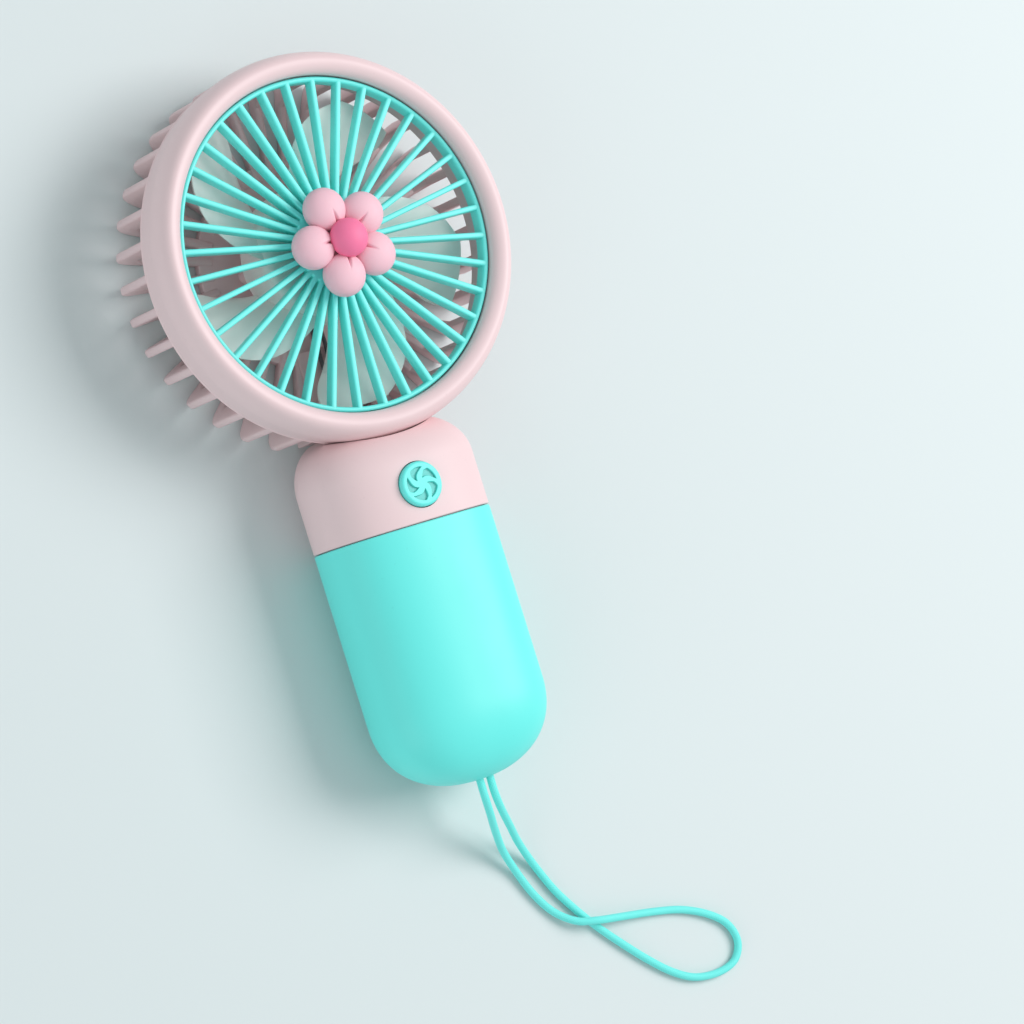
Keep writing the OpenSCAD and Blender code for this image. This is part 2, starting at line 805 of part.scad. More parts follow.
module circuit_board() {
    corner = 5;
    color("darkgreen")
        difference() {
            translate([0, 0, board_z])
                linear_extrude(board_t)
                    polygon([[-board_w / 2, board_low], [board_w / 2, board_low],
                        [board_w / 2, board_high - corner], [board_w / 2 - corner, board_high],
                        [corner - board_w / 2, board_high], [-board_w / 2, board_high - corner]]);
            for (side = [-1, 1])
                translate([side * board_screw_x, board_screw_y, 0]) cylinder(r = clear_r, h = 60);
        }
}

module board_screws() {
    color("silver")
        for (side = [-1, 1])
            screw(side * board_screw_x, board_screw_y, axis_z, 6);
}

module control_chip() {
    color("black")
        translate([-11, button_y - 2, axis_z]) {
            cube([5, 4, 1.5]);
            translate([0, 6.5, 0]) cube([4, 3, 2]);
        }
}

module usb_socket() {
    color("silver")
        difference() {
            usb_shape(0, usb_x - usb_len, usb_len);
            usb_shape(-0.3, usb_x - usb_len + 0.6, usb_len);
        }
}

module usb_tongue() {
    color("black")
        translate([usb_x - usb_len + 0.6, usb_y - 3.3, axis_z + usb_h / 2 - 0.35])
            cube([usb_len - 1.4, 6.6, 0.7]);
}

module charge_light() {
    color("white")
        translate([board_w / 2 - 1.8, light_y - 0.8, axis_z]) cube([1.6, 1.6, 1.2]);
}

module battery_carrier() {
    out_r = cell_r + carrier_gap + carrier_wall;
    low_y = cell_low - carrier_gap - carrier_end;
    high_y = cell_top + carrier_gap + carrier_end;
    color("whitesmoke")
        difference() {
            union() {
                translate([0, high_y, axis_z]) rotate([90, 0, 0]) cylinder(r = out_r, h = high_y - low_y);
                for (side = [-1, 1])
                    translate([side > 0 ? 6 : -ear_x - 2.3, high_y - carrier_end, ear_z])
                        cube([ear_x + 2.3 - 6, ear_y + 2.5 - high_y + carrier_end, 1.6]);
            }
            translate([0, cell_top + carrier_gap, axis_z])
                rotate([90, 0, 0]) cylinder(r = cell_r + carrier_gap, h = cell_l + 2 * carrier_gap);
            translate([-30, low_y - 1, axis_z + 2]) cube([60, high_y - low_y + 2, 30]);
            // Windows in both end walls for the cell tabs
            translate([-2.5, low_y - 1, axis_z - 3]) cube([5, high_y - low_y + 2, 20]);
            for (side = [-1, 1])
                translate([side * ear_x, ear_y, 0]) cylinder(r = clear_r, h = 30);
        }
}

module carrier_screws() {
    color("silver")
        for (side = [-1, 1])
            screw(side * ear_x, ear_y, ear_z + 1.6, 5);
}

module battery_cell() {
    color("royalblue")
        translate([0, cell_top, axis_z])
            rotate([90, 0, 0]) {
                translate([0, 0, 0.8]) cylinder(r = cell_r, h = cell_l - 0.8);
                cylinder(r = 3, h = 1);
            }
}

module cell_tabs() {
    tab_t = 0.2;
    color("silver") {
        translate([-2, cell_top, axis_z - 2]) cube([4, tab_t, 9]);
        translate([-2, cell_low - tab_t, axis_z - 2]) cube([4, tab_t, 12.4]);
    }
}

module cell_pad() {
    color("dimgray")
        translate([-5, cell_low + 8, axis_z + cell_r])
            cube([10, cell_l - 20, half_t - wall - cell_r - part_gap]);
}

module battery_leads() {
    far_points = [[0.8, cell_low - 0.9, axis_z + 9.8], [1, cell_low + 1.5, axis_z + 11],
        [7.2, cell_low + 6, axis_z + 10.2], [7.8, cell_low + 12, axis_z + 8.2],
        [7.8, cell_top - 8, axis_z + 8.2], [7.6, cell_top, axis_z + 6],
        [7.4, board_low + 1, axis_z + 2.6], [7.4, board_low + 2.6, axis_z + 1],
        [7.4, board_low + 2.8, axis_z]];
    near_points = [[-1, cell_top + 0.8, axis_z + 6.5], [-1.8, cell_top + 1.9, axis_z + 6.4],
        [-4, board_low + 0.6, axis_z + 3.4], [-5, board_low + 2, axis_z + 1.4],
        [-5, board_low + 2.4, axis_z]];
    color("firebrick") {
        tube(smooth(far_points, 2), lead_r);
        tube(smooth(near_points, 2), lead_r);
    }
}

module lower_shell() {
    color("turquoise")
        difference() {
            hollow(cup_sections(0), cup_sections(wall), false);
            for (side = [-1, 1])
                translate([cord_x + side * cord_half, y_pole + 6, axis_z])
                    rotate([90, 0, 0]) cylinder(r = cord_r + fit_gap, h = 12);
        }
}

// The knot is a short round bar across both ends of the cord.
module cord_knot() {
    ball_at = 1.3;
    color("turquoise")
        translate([cord_x, y_pole + wall + knot_r, axis_z])
            rotate([0, 90, 0])
                rotate_extrude($fn = 32)
                    polygon([
                        for (side = [-1, 1])
                            for (a = [0 : 15 : 90])
                                let (turn = side < 0 ? a - 90 : a)
                                    [knot_r * cos(turn), knot_r * sin(turn) + side * ball_at]]);
}

module wrist_cord() {
    color("turquoise")
        tube(smooth([for (p = cord_route) [p[0], y_pole + p[1], p[2]]], 2), cord_r);
}

front_ring();
front_grille();
flower_petals();
flower_centre();
impeller();
motor_shaft();
armature_core();
armature_windings();
commutator();
motor_can();
motor_magnets();
motor_end_bell();
motor_brushes();
motor_terminals();
front_bush();
rear_bush();
motor_retainer();
retainer_screws();
rear_housing();
motor_leads();
neck_screws();
collar();
button_cap();
switch_plunger();
switch_body();
circuit_board();
board_screws();
control_chip();
usb_socket();
usb_tongue();
charge_light();
battery_carrier();
carrier_screws();
battery_cell();
cell_tabs();
cell_pad();
battery_leads();
lower_shell();
wrist_cord();
cord_knot();
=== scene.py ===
import math

import bmesh
import bpy
from mathutils import Matrix, Vector


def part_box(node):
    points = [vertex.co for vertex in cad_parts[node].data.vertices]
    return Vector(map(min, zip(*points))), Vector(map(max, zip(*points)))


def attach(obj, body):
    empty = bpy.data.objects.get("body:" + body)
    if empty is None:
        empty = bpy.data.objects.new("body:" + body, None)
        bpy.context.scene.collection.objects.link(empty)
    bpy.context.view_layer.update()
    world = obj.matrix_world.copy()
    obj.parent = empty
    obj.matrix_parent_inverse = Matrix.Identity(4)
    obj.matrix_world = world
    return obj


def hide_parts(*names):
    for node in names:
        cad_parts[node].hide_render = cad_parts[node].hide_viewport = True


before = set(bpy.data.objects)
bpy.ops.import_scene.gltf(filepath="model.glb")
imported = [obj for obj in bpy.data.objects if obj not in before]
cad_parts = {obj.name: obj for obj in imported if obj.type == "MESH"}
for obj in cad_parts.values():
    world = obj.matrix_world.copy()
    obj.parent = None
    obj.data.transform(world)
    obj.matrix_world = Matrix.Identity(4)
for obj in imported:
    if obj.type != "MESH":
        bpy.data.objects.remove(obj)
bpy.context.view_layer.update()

# The handheld fan's looks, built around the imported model. Shapes are worked out in millimetres
# in the row frame (+Z out of the grille, +Y up the handle) and stored in metres.
MM = 0.001


def low(node):
    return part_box(node)[0] / MM


def high(node):
    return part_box(node)[1] / MM


# ---------- sizes, from the frame and from the part's own design ----------

# Head
HEAD_Y = (low("front_ring").y + high("front_ring").y) / 2
RING_R = (high("front_ring").x - low("front_ring").x) / 2
RING_TOP = high("front_ring").z
BAND_Z = low("front_ring").z
RING_FACE_W = 6.4
RING_CREST = 3.0
RING_WALL = 2.6
GRILLE_Z = RING_TOP - RING_CREST
RING_INNER_R = RING_R - RING_FACE_W
CREST_R = RING_INNER_R + RING_FACE_W / 2
RIM_TOP_Z = low("front_grille").z - 0.2
GRILLE_RIM_OUT = RING_INNER_R - 0.3
GRILLE_RIM_IN = GRILLE_RIM_OUT - 1.3
GRILLE_HUB_R = 11.0
SPOKES = 36
SPOKE_W = 1.4
SPOKE_LOW = GRILLE_Z - 3.3
SPOKE_HIGH = GRILLE_Z - 0.15

# Flower
PETALS = 5
PETAL_RING_R = 8.8
PETAL_R = 5.5
PETAL_H = 4.0
PETAL_Z = GRILLE_Z - 0.2 + PETAL_H
BEAD_R = 4.9
BEAD_H = 4.0
BEAD_Z = high("flower_centre").z - BEAD_H

# Impeller
HUB_R = 17.6
HUB_WALL = 1.2
HUB_LOW = low("impeller").z
HUB_TOP = high("impeller").z
HUB_FLOOR = HUB_TOP - 4
HUB_BOSS_R = 3.2
HUB_BOSS_LOW = HUB_FLOOR - 1.2
HUB_DISH_Z = HUB_TOP - 0.35
BLADES = 5
BLADE_PHASE = -7.0
BLADE_TIP_R = 39.5
SHAFT_R = 1.0

# Rear housing
PLATE_R = 26.0
PLATE_T = 2.5
CUP_R = 12.4
CUP_WALL = 1.5
CUP_TOP = high("motor_can").z
BOSS_AT = 13.7
BOSS_R = 1.9
RIM_R = RING_R - RING_WALL - 0.2
RIM_WALL = 3.0
VANE_W = 2.2
VANE_OUT_R = RING_R - 0.5
VANE_IN_R = RIM_R - RIM_WALL + 0.4
VANE_CORNER = 4.0
VANE_FLOOR = 3.0
RECESS_R = 8
RECESS_Z = PLATE_T - 1.6
WIRE_WAY = 2.2
SCREW_X = 6

# Handle
SEAM_Y = high("lower_shell").y
POLE_Y = low("lower_shell").y
HALF_W = high("lower_shell").x
HALF_T = (high("lower_shell").z - low("lower_shell").z) / 2
AXIS_Z = HALF_T
WALL = 1.8
SECTION_N = 2.5
END_N = 2.25
END_LEN = 20.5
SHOULDER_UP = 14.0
SHOULDER_R = 13.0
BACK_R = 3.0
NECK_Y = SEAM_Y + SHOULDER_UP + SHOULDER_R + 0.2
CHAMFER = 0.22
SEAM_GAP = 0.25

# Button
BUTTON_Y = (low("button_cap").y + high("button_cap").y) / 2
BUTTON_TOP = high("button_cap").z
BUTTON_R = 5.65
SWIRL_DEPTH = 0.6

# Charging port
PORT_Y = (low("usb_socket").y + high("usb_socket").y) / 2
PORT_Z = (low("usb_socket").z + high("usb_socket").z) / 2
PORT_W = 8.94
PORT_H = 3.2

# Cord: out of the left hole, round the loop, over itself and back into the right hole.
# Distances in y are from the pole of the lower shell.
CORD_R = 1.0
CORD_X = 1.6
CORD_HALF = 1.5
WIRE_R = 0.55
CORD_ROUTE = [
    (0.1, 4, 16), (0.1, 0, 16), (0.1, -4, 15.9), (1.2, -8.5, 13.9),
    (3.6, -13.5, 9.3), (6.6, -19, 4.4), (9.8, -25, 1.7), (13, -32, 1.1), (17, -38, 1.3),
    (22, -42, 2.4), (27.5, -43.5, 3.3), (35, -44.7, 2.4), (45, -46.3, 1.3), (53, -48.2, 1.1),
    (60, -51.5, 1.1), (64.6, -55.5, 1.1), (66, -60.5, 1.1), (63.5, -64.8, 1.1),
    (58, -66.4, 1.1), (51, -65.6, 1.1), (45, -62.4, 1.1), (39, -57.2, 1.1), (33.3, -51.3, 1.1),
    (27.7, -45, 1.1), (23, -38.8, 1.1), (19, -32.5, 1.1), (15.4, -25, 1.5), (11.6, -18.5, 4.4),
    (8, -13.5, 9.3), (4.6, -8.5, 13.9), (3.1, -4, 15.9), (3.1, 0, 16),
    (3.1, 4, 16),
]

FRAME, ROTOR, BUTTON = "frame", "rotor", "button"


# ---------- camera ----------

def set_camera():
    yaw, pitch, roll = (math.radians(a) for a in (-29.60, 1.24, -17.30))
    look = Vector((-math.sin(yaw) * math.cos(pitch), math.sin(pitch),
                   -math.cos(yaw) * math.cos(pitch)))
    level = look.cross(Vector((0, 1, 0))).normalized()
    upright = level.cross(look)
    right = level * math.cos(roll) + upright * math.sin(roll)
    up = upright * math.cos(roll) - level * math.sin(roll)
    camera = bpy.data.objects.new("camera", bpy.data.cameras.new("camera"))
    camera.data.sensor_width = 36
    camera.data.lens = 175.78
    camera.data.clip_start = 0.05
    camera.data.clip_end = 30
    camera.matrix_world = Matrix.Translation((-0.58957, -0.05885, 1.10943)) @ Matrix(
        (right, up, -look)).transposed().to_4x4()
    bpy.context.scene.collection.objects.link(camera)
    bpy.context.scene.camera = camera


# ---------- meshes ----------

def piece_of(name, points, faces):
    """A new object from points in millimetres."""
    mesh = bpy.data.meshes.new(name)
    mesh.from_pydata([Vector(p) * MM for p in points], [], faces)
    made = bpy.data.objects.new(name, mesh)
    bpy.context.scene.collection.objects.link(made)
    return made


def close_up(piece, sharp=35):
    """Merges doubled points, turns the faces outwards and shades smooth between sharp edges."""
    work = bmesh.new()
    work.from_mesh(piece.data)
    bmesh.ops.remove_doubles(work, verts=work.verts, dist=1e-6)
    bmesh.ops.dissolve_degenerate(work, edges=work.edges, dist=1e-7)
    bmesh.ops.recalc_face_normals(work, faces=work.faces)
    work.to_mesh(piece.data)
    work.free()
    piece.data.shade_smooth()
    piece.data.set_sharp_from_angle(angle=math.radians(sharp))
    return piece


def applied(piece):
    """The piece with its modifiers made part of its mesh."""
    graph = bpy.context.evaluated_depsgraph_get()
    mesh = bpy.data.meshes.new_from_object(piece.evaluated_get(graph), depsgraph=graph)
    piece.modifiers.clear()
    piece.data = mesh
    return piece


def bevelled(piece, width, steps=3, angle=40):
    bevel = piece.modifiers.new("bevel", "BEVEL")
    bevel.width = width * MM
    bevel.segments = steps
    bevel.limit_method = "ANGLE"
    bevel.angle_limit = math.radians(angle)
    return applied(piece)


def cut(piece, *tools):
    """Takes the tools' shapes out of the piece and removes the tools."""
    for tool in tools:
        difference = piece.modifiers.new("cut", "BOOLEAN")
        difference.operation = "DIFFERENCE"
        difference.solver = "EXACT"
        difference.object = tool
        applied(piece)
        bpy.data.objects.remove(tool)
    return piece


def joined(name, *parts):
    """One object of several, with their meshes side by side."""
    work = bmesh.new()
    for part in parts:
        work.from_mesh(part.data)
    mesh = bpy.data.meshes.new(name)
    work.to_mesh(mesh)
    work.free()
    for part in parts:
        bpy.data.objects.remove(part)
    made = bpy.data.objects.new(name, mesh)
    bpy.context.scene.collection.objects.link(made)
    return made


def rounded(corners, steps=5):
    """A closed outline of corners (x, y, radius) with each rounded off by its radius."""
    outline = []
    count = len(corners)
    for i, (x, y, radius) in enumerate(corners):
        corner = Vector((x, y))
        if not radius:
            outline.append(corner)
            continue
        ways = [Vector(corners[j][:2]) - corner for j in ((i - 1) % count, (i + 1) % count)]
        ends = [corner + way.normalized() * min(radius, way.length * 0.499) for way in ways]
        for k in range(steps + 1):
            u = k / steps
            outline.append(ends[0] * (1 - u) ** 2 + corner * 2 * u * (1 - u) + ends[1] * u * u)
    return outline


def revolved(name, outline, centre=(0, 0), steps=160, sharp=35):
    """A closed outline of (radius, z) turned round an upright axis at centre."""
    points, faces = [], []
    count = len(outline)
    for k in range(steps):
        angle = 2 * math.pi * k / steps
        points += [(centre[0] + r * math.cos(angle), centre[1] + r * math.sin(angle), z)
                   for r, z in outline]
    for k in range(steps):
        here, there = k * count, (k + 1) % steps * count
        for i in range(count):
            j = (i + 1) % count
            faces.append((here + i, here + j, there + j, there + i))
    return close_up(piece_of(name, points, faces), sharp)


def lofted(name, rings, sharp=35):
    """A skin over equally long rings of points. The first and last rings are closed off."""
    points = [p for ring in rings for p in ring]
    count = len(rings[0])
    faces = []
    for r in range(len(rings) - 1):
        for i in range(count):
            a, b = r * count + i, r * count + (i + 1) % count
            faces.append((a, b, b + count, a + count))
    faces.append(tuple(range(count)))
    faces.append(tuple(range(len(points) - 1, len(points) - 1 - count, -1)))
    return close_up(piece_of(name, points, faces), sharp)


def block(name, low_corner, high_corner, bevel=0.0):
    (x0, y0, z0), (x1, y1, z1) = low_corner, high_corner
    rings = [[(x0, y0, z), (x1, y0, z), (x1, y1, z), (x0, y1, z)] for z in (z0, z1)]
    made = lofted(name, rings)
    return bevelled(made, bevel) if bevel else made


def rod(name, x, y, radius, z0, z1, steps=48):
    return revolved(name, [(0, z0), (radius, z0), (radius, z1), (0, z1)], (x, y), steps)


def tube(name, path, radius, sides=16):
    """A round tube along points in millimetres, with its own UV map: once round, and along
    in turns of its own diameter."""
    path = [Vector(p) for p in path]
    side = None
    points, reach = [], [0.0]
    for i, point in enumerate(path):
        along = (path[min(i + 1, len(path) - 1)] - path[max(i - 1, 0)]).normalized()
        if side is None:
            side = along.orthogonal().normalized()
        side = (side - along * side.dot(along)).normalized()
        across = along.cross(side)
        if i:
            reach.append(reach[-1] + (point - path[i - 1]).length)
        for k in range(sides):
            angle = 2 * math.pi * k / sides
            points.append(point + radius * (math.cos(angle) * side + math.sin(angle) * across))
    rings = len(path)
    faces, spots = [], []
    for i in range(rings - 1):
        for k in range(sides):
            a, b = i * sides + k, i * sides + (k + 1) % sides
            faces.append((a, b, b + sides, a + sides))
            spots += [(u / sides, v / (2 * radius)) for u, v in (
                (k, reach[i]), (k + 1, reach[i]), (k + 1, reach[i + 1]), (k, reach[i + 1]))]
    for ring in (range(sides - 1, -1, -1), range((rings - 1) * sides, rings * sides)):
        faces.append(tuple(ring))
        spots += [(0.0, 0.0)] * sides
    made = piece_of(name, points, faces)
    layer = made.data.uv_layers.new(name="along")
    for spot, uv in zip(layer.data, spots):
        spot.uv = uv
    made.data.shade_smooth()
    made.data.set_sharp_from_angle(angle=math.radians(60))
    return made


def smooth_path(points, steps):
    """A curve through the points, with steps pieces from each to the next."""
    points = [Vector(p) for p in points]
    last = len(points) - 1
    path = []
    for i in range(last):
        a, b, c, d = (points[max(0, min(last, i + k))] for k in (-1, 0, 1, 2))
        for k in range(steps):
            u = k / steps
            path.append(0.5 * (2 * b + (c - a) * u + (2 * a - 5 * b + 4 * c - d) * u ** 2
                               + (3 * b - a - 3 * c + d) * u ** 3))
    return path + [points[last]]


# ---------- what repeats: a part set round an axis by Geometry Nodes ----------

def ring_tree(name):
    tree = bpy.data.node_groups.new(name, "GeometryNodeTree")
    made_in = tree.interface.new_socket
    sockets = {"Part": made_in("Part", in_out="INPUT", socket_type="NodeSocketGeometry")}
    for label, kind in (("Count", "Int"), ("Start", "Float"), ("Step", "Float"),
                        ("Centre", "Vector"), ("Finish", "Material")):
        sockets[label] = made_in(label, in_out="INPUT", socket_type="NodeSocket" + kind)
    made_in("Geometry", in_out="OUTPUT", socket_type="NodeSocketGeometry")
    node = {label: tree.nodes.new(kind) for label, kind in (
        ("in", "NodeGroupInput"), ("spots", "GeometryNodePoints"), ("index", "GeometryNodeInputIndex"),
        ("steps", "ShaderNodeMath"), ("angle", "ShaderNodeMath"),
        ("turn", "FunctionNodeAxisAngleToRotation"), ("set", "GeometryNodeInstanceOnPoints"),
        ("real", "GeometryNodeRealizeInstances"), ("finish", "GeometryNodeSetMaterial"),
        ("out", "NodeGroupOutput"))}
    node["steps"].operation = "MULTIPLY"
    node["turn"].inputs["Axis"].default_value = (0, 0, 1)
    for source, output, target, target_in in (
            ("in", "Count", "spots", "Count"), ("in", "Centre", "spots", "Position"),
            ("index", "Index", "steps", 0), ("in", "Step", "steps", 1),
            ("steps", 0, "angle", 0), ("in", "Start", "angle", 1),
            ("angle", 0, "turn", "Angle"), ("spots", 0, "set", "Points"),
            ("in", "Part", "set", "Instance"), ("turn", "Rotation", "set", "Rotation"),
            ("set", "Instances", "real", "Geometry"), ("real", "Geometry", "finish", "Geometry"),
            ("in", "Finish", "finish", "Material"), ("finish", "Geometry", "out", "Geometry")):
        tree.links.new(node[source].outputs[output], node[target].inputs[target_in])
    return tree, {label: socket.identifier for label, socket in sockets.items()}


RING_TREE, RING_INPUTS = ring_tree("set_round")


def set_round(part, count, finish, start=0.0, step=None, centre=(0, 0, 0)):
    """The part, modelled round the origin, repeated count times about an upright axis."""
    repeat = part.modifiers.new("round", "NODES")
    repeat.node_group = RING_TREE
    repeat[RING_INPUTS["Count"]] = count
    repeat[RING_INPUTS["Start"]] = math.radians(start)
    repeat[RING_INPUTS["Step"]] = math.radians(step or 360 / count)
    repeat[RING_INPUTS["Centre"]] = [c * MM for c in centre]
    repeat[RING_INPUTS["Finish"]] = finish
    return applied(part)


HEAD = (0, HEAD_Y)


# ---------- shader maths ----------

class Value:
    """A number that changes over a surface. Arithmetic on it adds Math nodes."""

    def __init__(self, paint, socket):
        self.paint = paint
        self.socket = socket

    def maths(self, operation, first, second=0.0, third=0.0):
        node = self.paint.node("ShaderNodeMath", {"operation": operation},
                               {0: first, 1: second, 2: third})
        return Value(self.paint, node.outputs[0])

    def __add__(self, other):
        return self.maths("ADD", self, other)

    def __radd__(self, other):
        return self.maths("ADD", other, self)

    def __sub__(self, other):
        return self.maths("SUBTRACT", self, other)

    def __rsub__(self, other):
        return self.maths("SUBTRACT", other, self)

    def __mul__(self, other):
        return self.maths("MULTIPLY", self, other)

    def __rmul__(self, other):
        return self.maths("MULTIPLY", other, self)

    def __pow__(self, other):
        return self.maths("POWER", self, other)

    def sine(self):
        return self.maths("SINE", self)

    def size(self):
        return self.maths("ABSOLUTE", self)

    def larger(self, other):
        return self.maths("MAXIMUM", self, other)

    def step(self, start, end):
        """0 below start, 1 above end and smooth between."""
        node = self.paint.node("ShaderNodeMapRange", {"interpolation_type": "SMOOTHSTEP"}, {
            "Value": self, "From Min": start, "From Max": end})
        return Value(self.paint, node.outputs["Result"])


class Paint:
    """One material being made."""

    def __init__(self, name):
        self.material = bpy.data.materials.new(name)
        self.material.use_nodes = True
        self.tree = self.material.node_tree
        self.tree.nodes.clear()
        self.shader = self.node("ShaderNodeBsdfPrincipled")
        out = self.node("ShaderNodeOutputMaterial")
        self.tree.links.new(self.shader.outputs["BSDF"], out.inputs["Surface"])

    def node(self, kind, settings=None, values=None):
        """Adds a node: its settings first, then each socket's value or link."""
        made = self.tree.nodes.new(kind)
        for name, setting in (settings or {}).items():
            setattr(made, name, setting)
        for key, value in (values or {}).items():
            self.feed(made.inputs[key], value)
        return made

    def feed(self, socket, value):
        if isinstance(value, Value):
            value = value.socket
        if isinstance(value, bpy.types.NodeSocket):
            self.tree.links.new(value, socket)
        elif isinstance(value, (tuple, list)) and socket.type == "RGBA":
            socket.default_value = (*value, 1)
        else:
            socket.default_value = value

    def place(self, stretch=(1, 1, 1), source="Object"):
        """Coordinates to pattern by: the object's metres, or its UV map."""
        where = self.node("ShaderNodeTexCoord").outputs[source]
        return self.node("ShaderNodeMapping", {}, {"Vector": where, "Scale": stretch}).outputs[0]

    def noise(self, scale, detail=2.0, rough=0.5, where=None, twist=0.0):
        """Noise from 0 to 1 whose features measure about 1 / scale metres."""
        made = self.node("ShaderNodeTexNoise", {}, {
            "Vector": where or self.place(), "Scale": scale, "Detail": detail,
            "Roughness": rough, "Distortion": twist})
        return Value(self, made.outputs["Fac"])

    def blend(self, share, first, second):
        """A colour between two."""
        made = self.node("ShaderNodeMix", {"data_type": "RGBA"}, {
            0: share, 6: first, 7: second})
        return made.outputs[2]

    def bump(self, height, distance, strength=1.0, normal=None):
        """A normal from a height of 0 to 1 that stands distance metres high."""
        values = {"Height": height, "Distance": distance, "Strength": strength}
        if normal:
            values["Normal"] = normal
        return self.node("ShaderNodeBump", {}, values).outputs[0]

    def finish(self, **sockets):
        for name, value in sockets.items():
            self.feed(self.shader.inputs[name.replace("_", " ")], value)
        return self.material


# ---------- finishes ----------

def linear(red, green, blue):
    """A screen colour of 0 to 255 as linear light."""
    return tuple(c / 255 / 12.92 if c <= 10 else ((c / 255 + 0.055) / 1.055) ** 2.4
                 for c in (red, green, blue))


def shade(colour, factor):
    return tuple(min(1.0, c * factor) for c in colour)


def moulded(name, colour, rough=0.42, coat=0.12, milky=0.0, grain=0.00001, shaded_hollow=None):
    """Moulded plastic: a fine eroded grain, faint flow marks, smudges and a few specks.
    The optional (y, z, radius) in metres is a face whose hollows below z are darkened as painted
    shade."""
    paint = Paint(name)
    flow = paint.noise(22, 3, 0.55, paint.place((1, 0.35, 1)), 0.6)
    smudge = paint.noise(70, 4, 0.6)
    fine = paint.noise(5200, 2, 0.6)
    speck = paint.noise(900, 1).step(0.72, 0.80)
    tone = paint.blend(flow, shade(colour, 0.96), shade(colour, 1.03))
    tone = paint.blend(speck * 0.12, tone, shade(colour, 0.7))
    # Painted shade: hollows below the face level, within the radius, are darkened towards half
    # brightness.
    if shaded_hollow:
        split = paint.node("ShaderNodeSeparateXYZ", {}, {"Vector": paint.place()})
        x, y, z = (Value(paint, split.outputs[i]) for i in range(3))
        away = (x ** 2 + (y - shaded_hollow[0]) ** 2) ** 0.5
        deep = (shaded_hollow[1] - z).step(0.0001, 0.0004) * (1.0 - away.step(shaded_hollow[2], shaded_hollow[2] * 1.04))
        tone = paint.blend(deep * 0.55, tone, shade(colour, 0.5))
    normal = paint.bump(paint.noise(60), 0.00005, 0.25)
    normal = paint.bump(fine, grain, 0.5, normal)
    return paint.finish(
        Base_Color=tone, Roughness=rough + (smudge - 0.5) * 0.14 + fine * 0.04, Normal=normal,
        Coat_Weight=coat, Coat_Roughness=0.3, IOR=1.46, Subsurface_Weight=milky,
        Subsurface_Radius=(0.002, 0.0014, 0.0014), Subsurface_Scale=1.0)


def metal(name, colour, rough, stretch=(1, 1, 1), dull=0.0, scale=2600):
    """Metal with drawn or turned lines and a duller film in patches."""
    paint = Paint(name)
    lines = paint.noise(scale, 3, 0.65, paint.place(stretch))
    film = paint.noise(260, 4, 0.6)
    spots = paint.noise(1500, 1).step(0.68, 0.76)
    tone = paint.blend(film, shade(colour, 0.82), shade(colour, 1.08))
    tone = paint.blend(spots * (0.15 + dull), tone, shade(colour, 0.45))
    return paint.finish(
        Base_Color=tone, Metallic=1.0, Roughness=rough + film * 0.16 + lines * 0.12,
        Normal=paint.bump(lines, 0.000008, 0.6))


def stacked(name, colour, pitch, axis, metallic, rough, dip=0.00004, dark=0.4):
    """Layers or wire turns side by side along one axis of the object."""
    paint = Paint(name)
    split = paint.node("ShaderNodeSeparateXYZ", {}, {"Vector": paint.place()})
    run = Value(paint, split.outputs[axis])
    ridge = (run * (2 * math.pi / pitch)).sine() * 0.5 + 0.5
    uneven = paint.noise(900, 2)
    tone = paint.blend(ridge, shade(colour, dark), colour)
    tone = paint.blend(uneven * 0.5, tone, shade(colour, 0.7))
    return paint.finish(
        Base_Color=tone, Metallic=metallic, Roughness=rough + uneven * 0.15 - ridge * 0.08,
        Normal=paint.bump(ridge, dip, 0.8))


def board():
    """Solder mask over tracks, with rows of tinned pads."""
    paint = Paint("board_green_mask")
    cells = paint.node("ShaderNodeTexBrick", {"offset": 0.5, "squash": 1.0}, {
        "Vector": paint.place((1, 1, 0)), "Scale": 260.0, "Mortar Size": 0.035,
        "Mortar Smooth": 0.2, "Brick Width": 0.8, "Row Height": 0.45})
    track = 1.0 - Value(paint, cells.outputs["Fac"])
    pads = paint.node("ShaderNodeTexVoronoi", {"feature": "F1"}, {
        "Vector": paint.place((1, 1, 0)), "Scale": 420.0, "Randomness": 0.55})
    pad = 1.0 - Value(paint, pads.outputs["Distance"]).step(0.13, 0.17)
    weave = paint.noise(1600, 2)
    green = linear(22, 92, 54)
    tone = paint.blend(track, shade(green, 1.5), shade(green, 0.85))
    tone = paint.blend(weave * 0.4, tone, shade(green, 0.7))
    tone = paint.blend(pad, tone, linear(200, 200, 190))
    return paint.finish(
        Base_Color=tone, Metallic=pad * 0.9, Roughness=0.32 + weave * 0.1 - pad * 0.08,
        Coat_Weight=0.5, Coat_Roughness=0.15, Normal=paint.bump(track + pad, 0.00003, 0.5))


def braid(name, colour):
    """A cord plaited of fine strands that cross both ways round it."""
    paint = Paint(name)
    split = paint.node("ShaderNodeSeparateXYZ", {}, {"Vector": paint.place(source="UV")})
    turn, along = (Value(paint, split.outputs[i]) for i in (0, 1))
    one = ((turn * 8 + along * 2.6) * math.pi).sine().size()
    two = ((turn * 8 - along * 2.6) * math.pi).sine().size()
    strand = one.larger(two)
    fuzz = paint.noise(5200, 3, 0.7)
    tone = paint.blend(strand, shade(colour, 0.80), shade(colour, 1.03))
    tone = paint.blend(fuzz * 0.25, tone, shade(colour, 0.85))
    return paint.finish(
        Base_Color=tone, Roughness=0.55 + fuzz * 0.15, Sheen_Weight=0.15,
        Normal=paint.bump(fuzz, 0.00001, 0.4, paint.bump(strand, 0.00005, 0.45)))


def rough_solid(name, colour, rough, scale, height, dark=0.6):
    """Foam, sintered or pressed material with open pores."""
    paint = Paint(name)
    pores = paint.noise(scale, 4, 0.7)
    pit = pores.step(0.5, 0.62)
    tone = paint.blend(pit, colour, shade(colour, dark))
    return paint.finish(
        Base_Color=tone, Roughness=rough + pores * 0.1, Normal=paint.bump(1.0 - pit, height, 0.7))


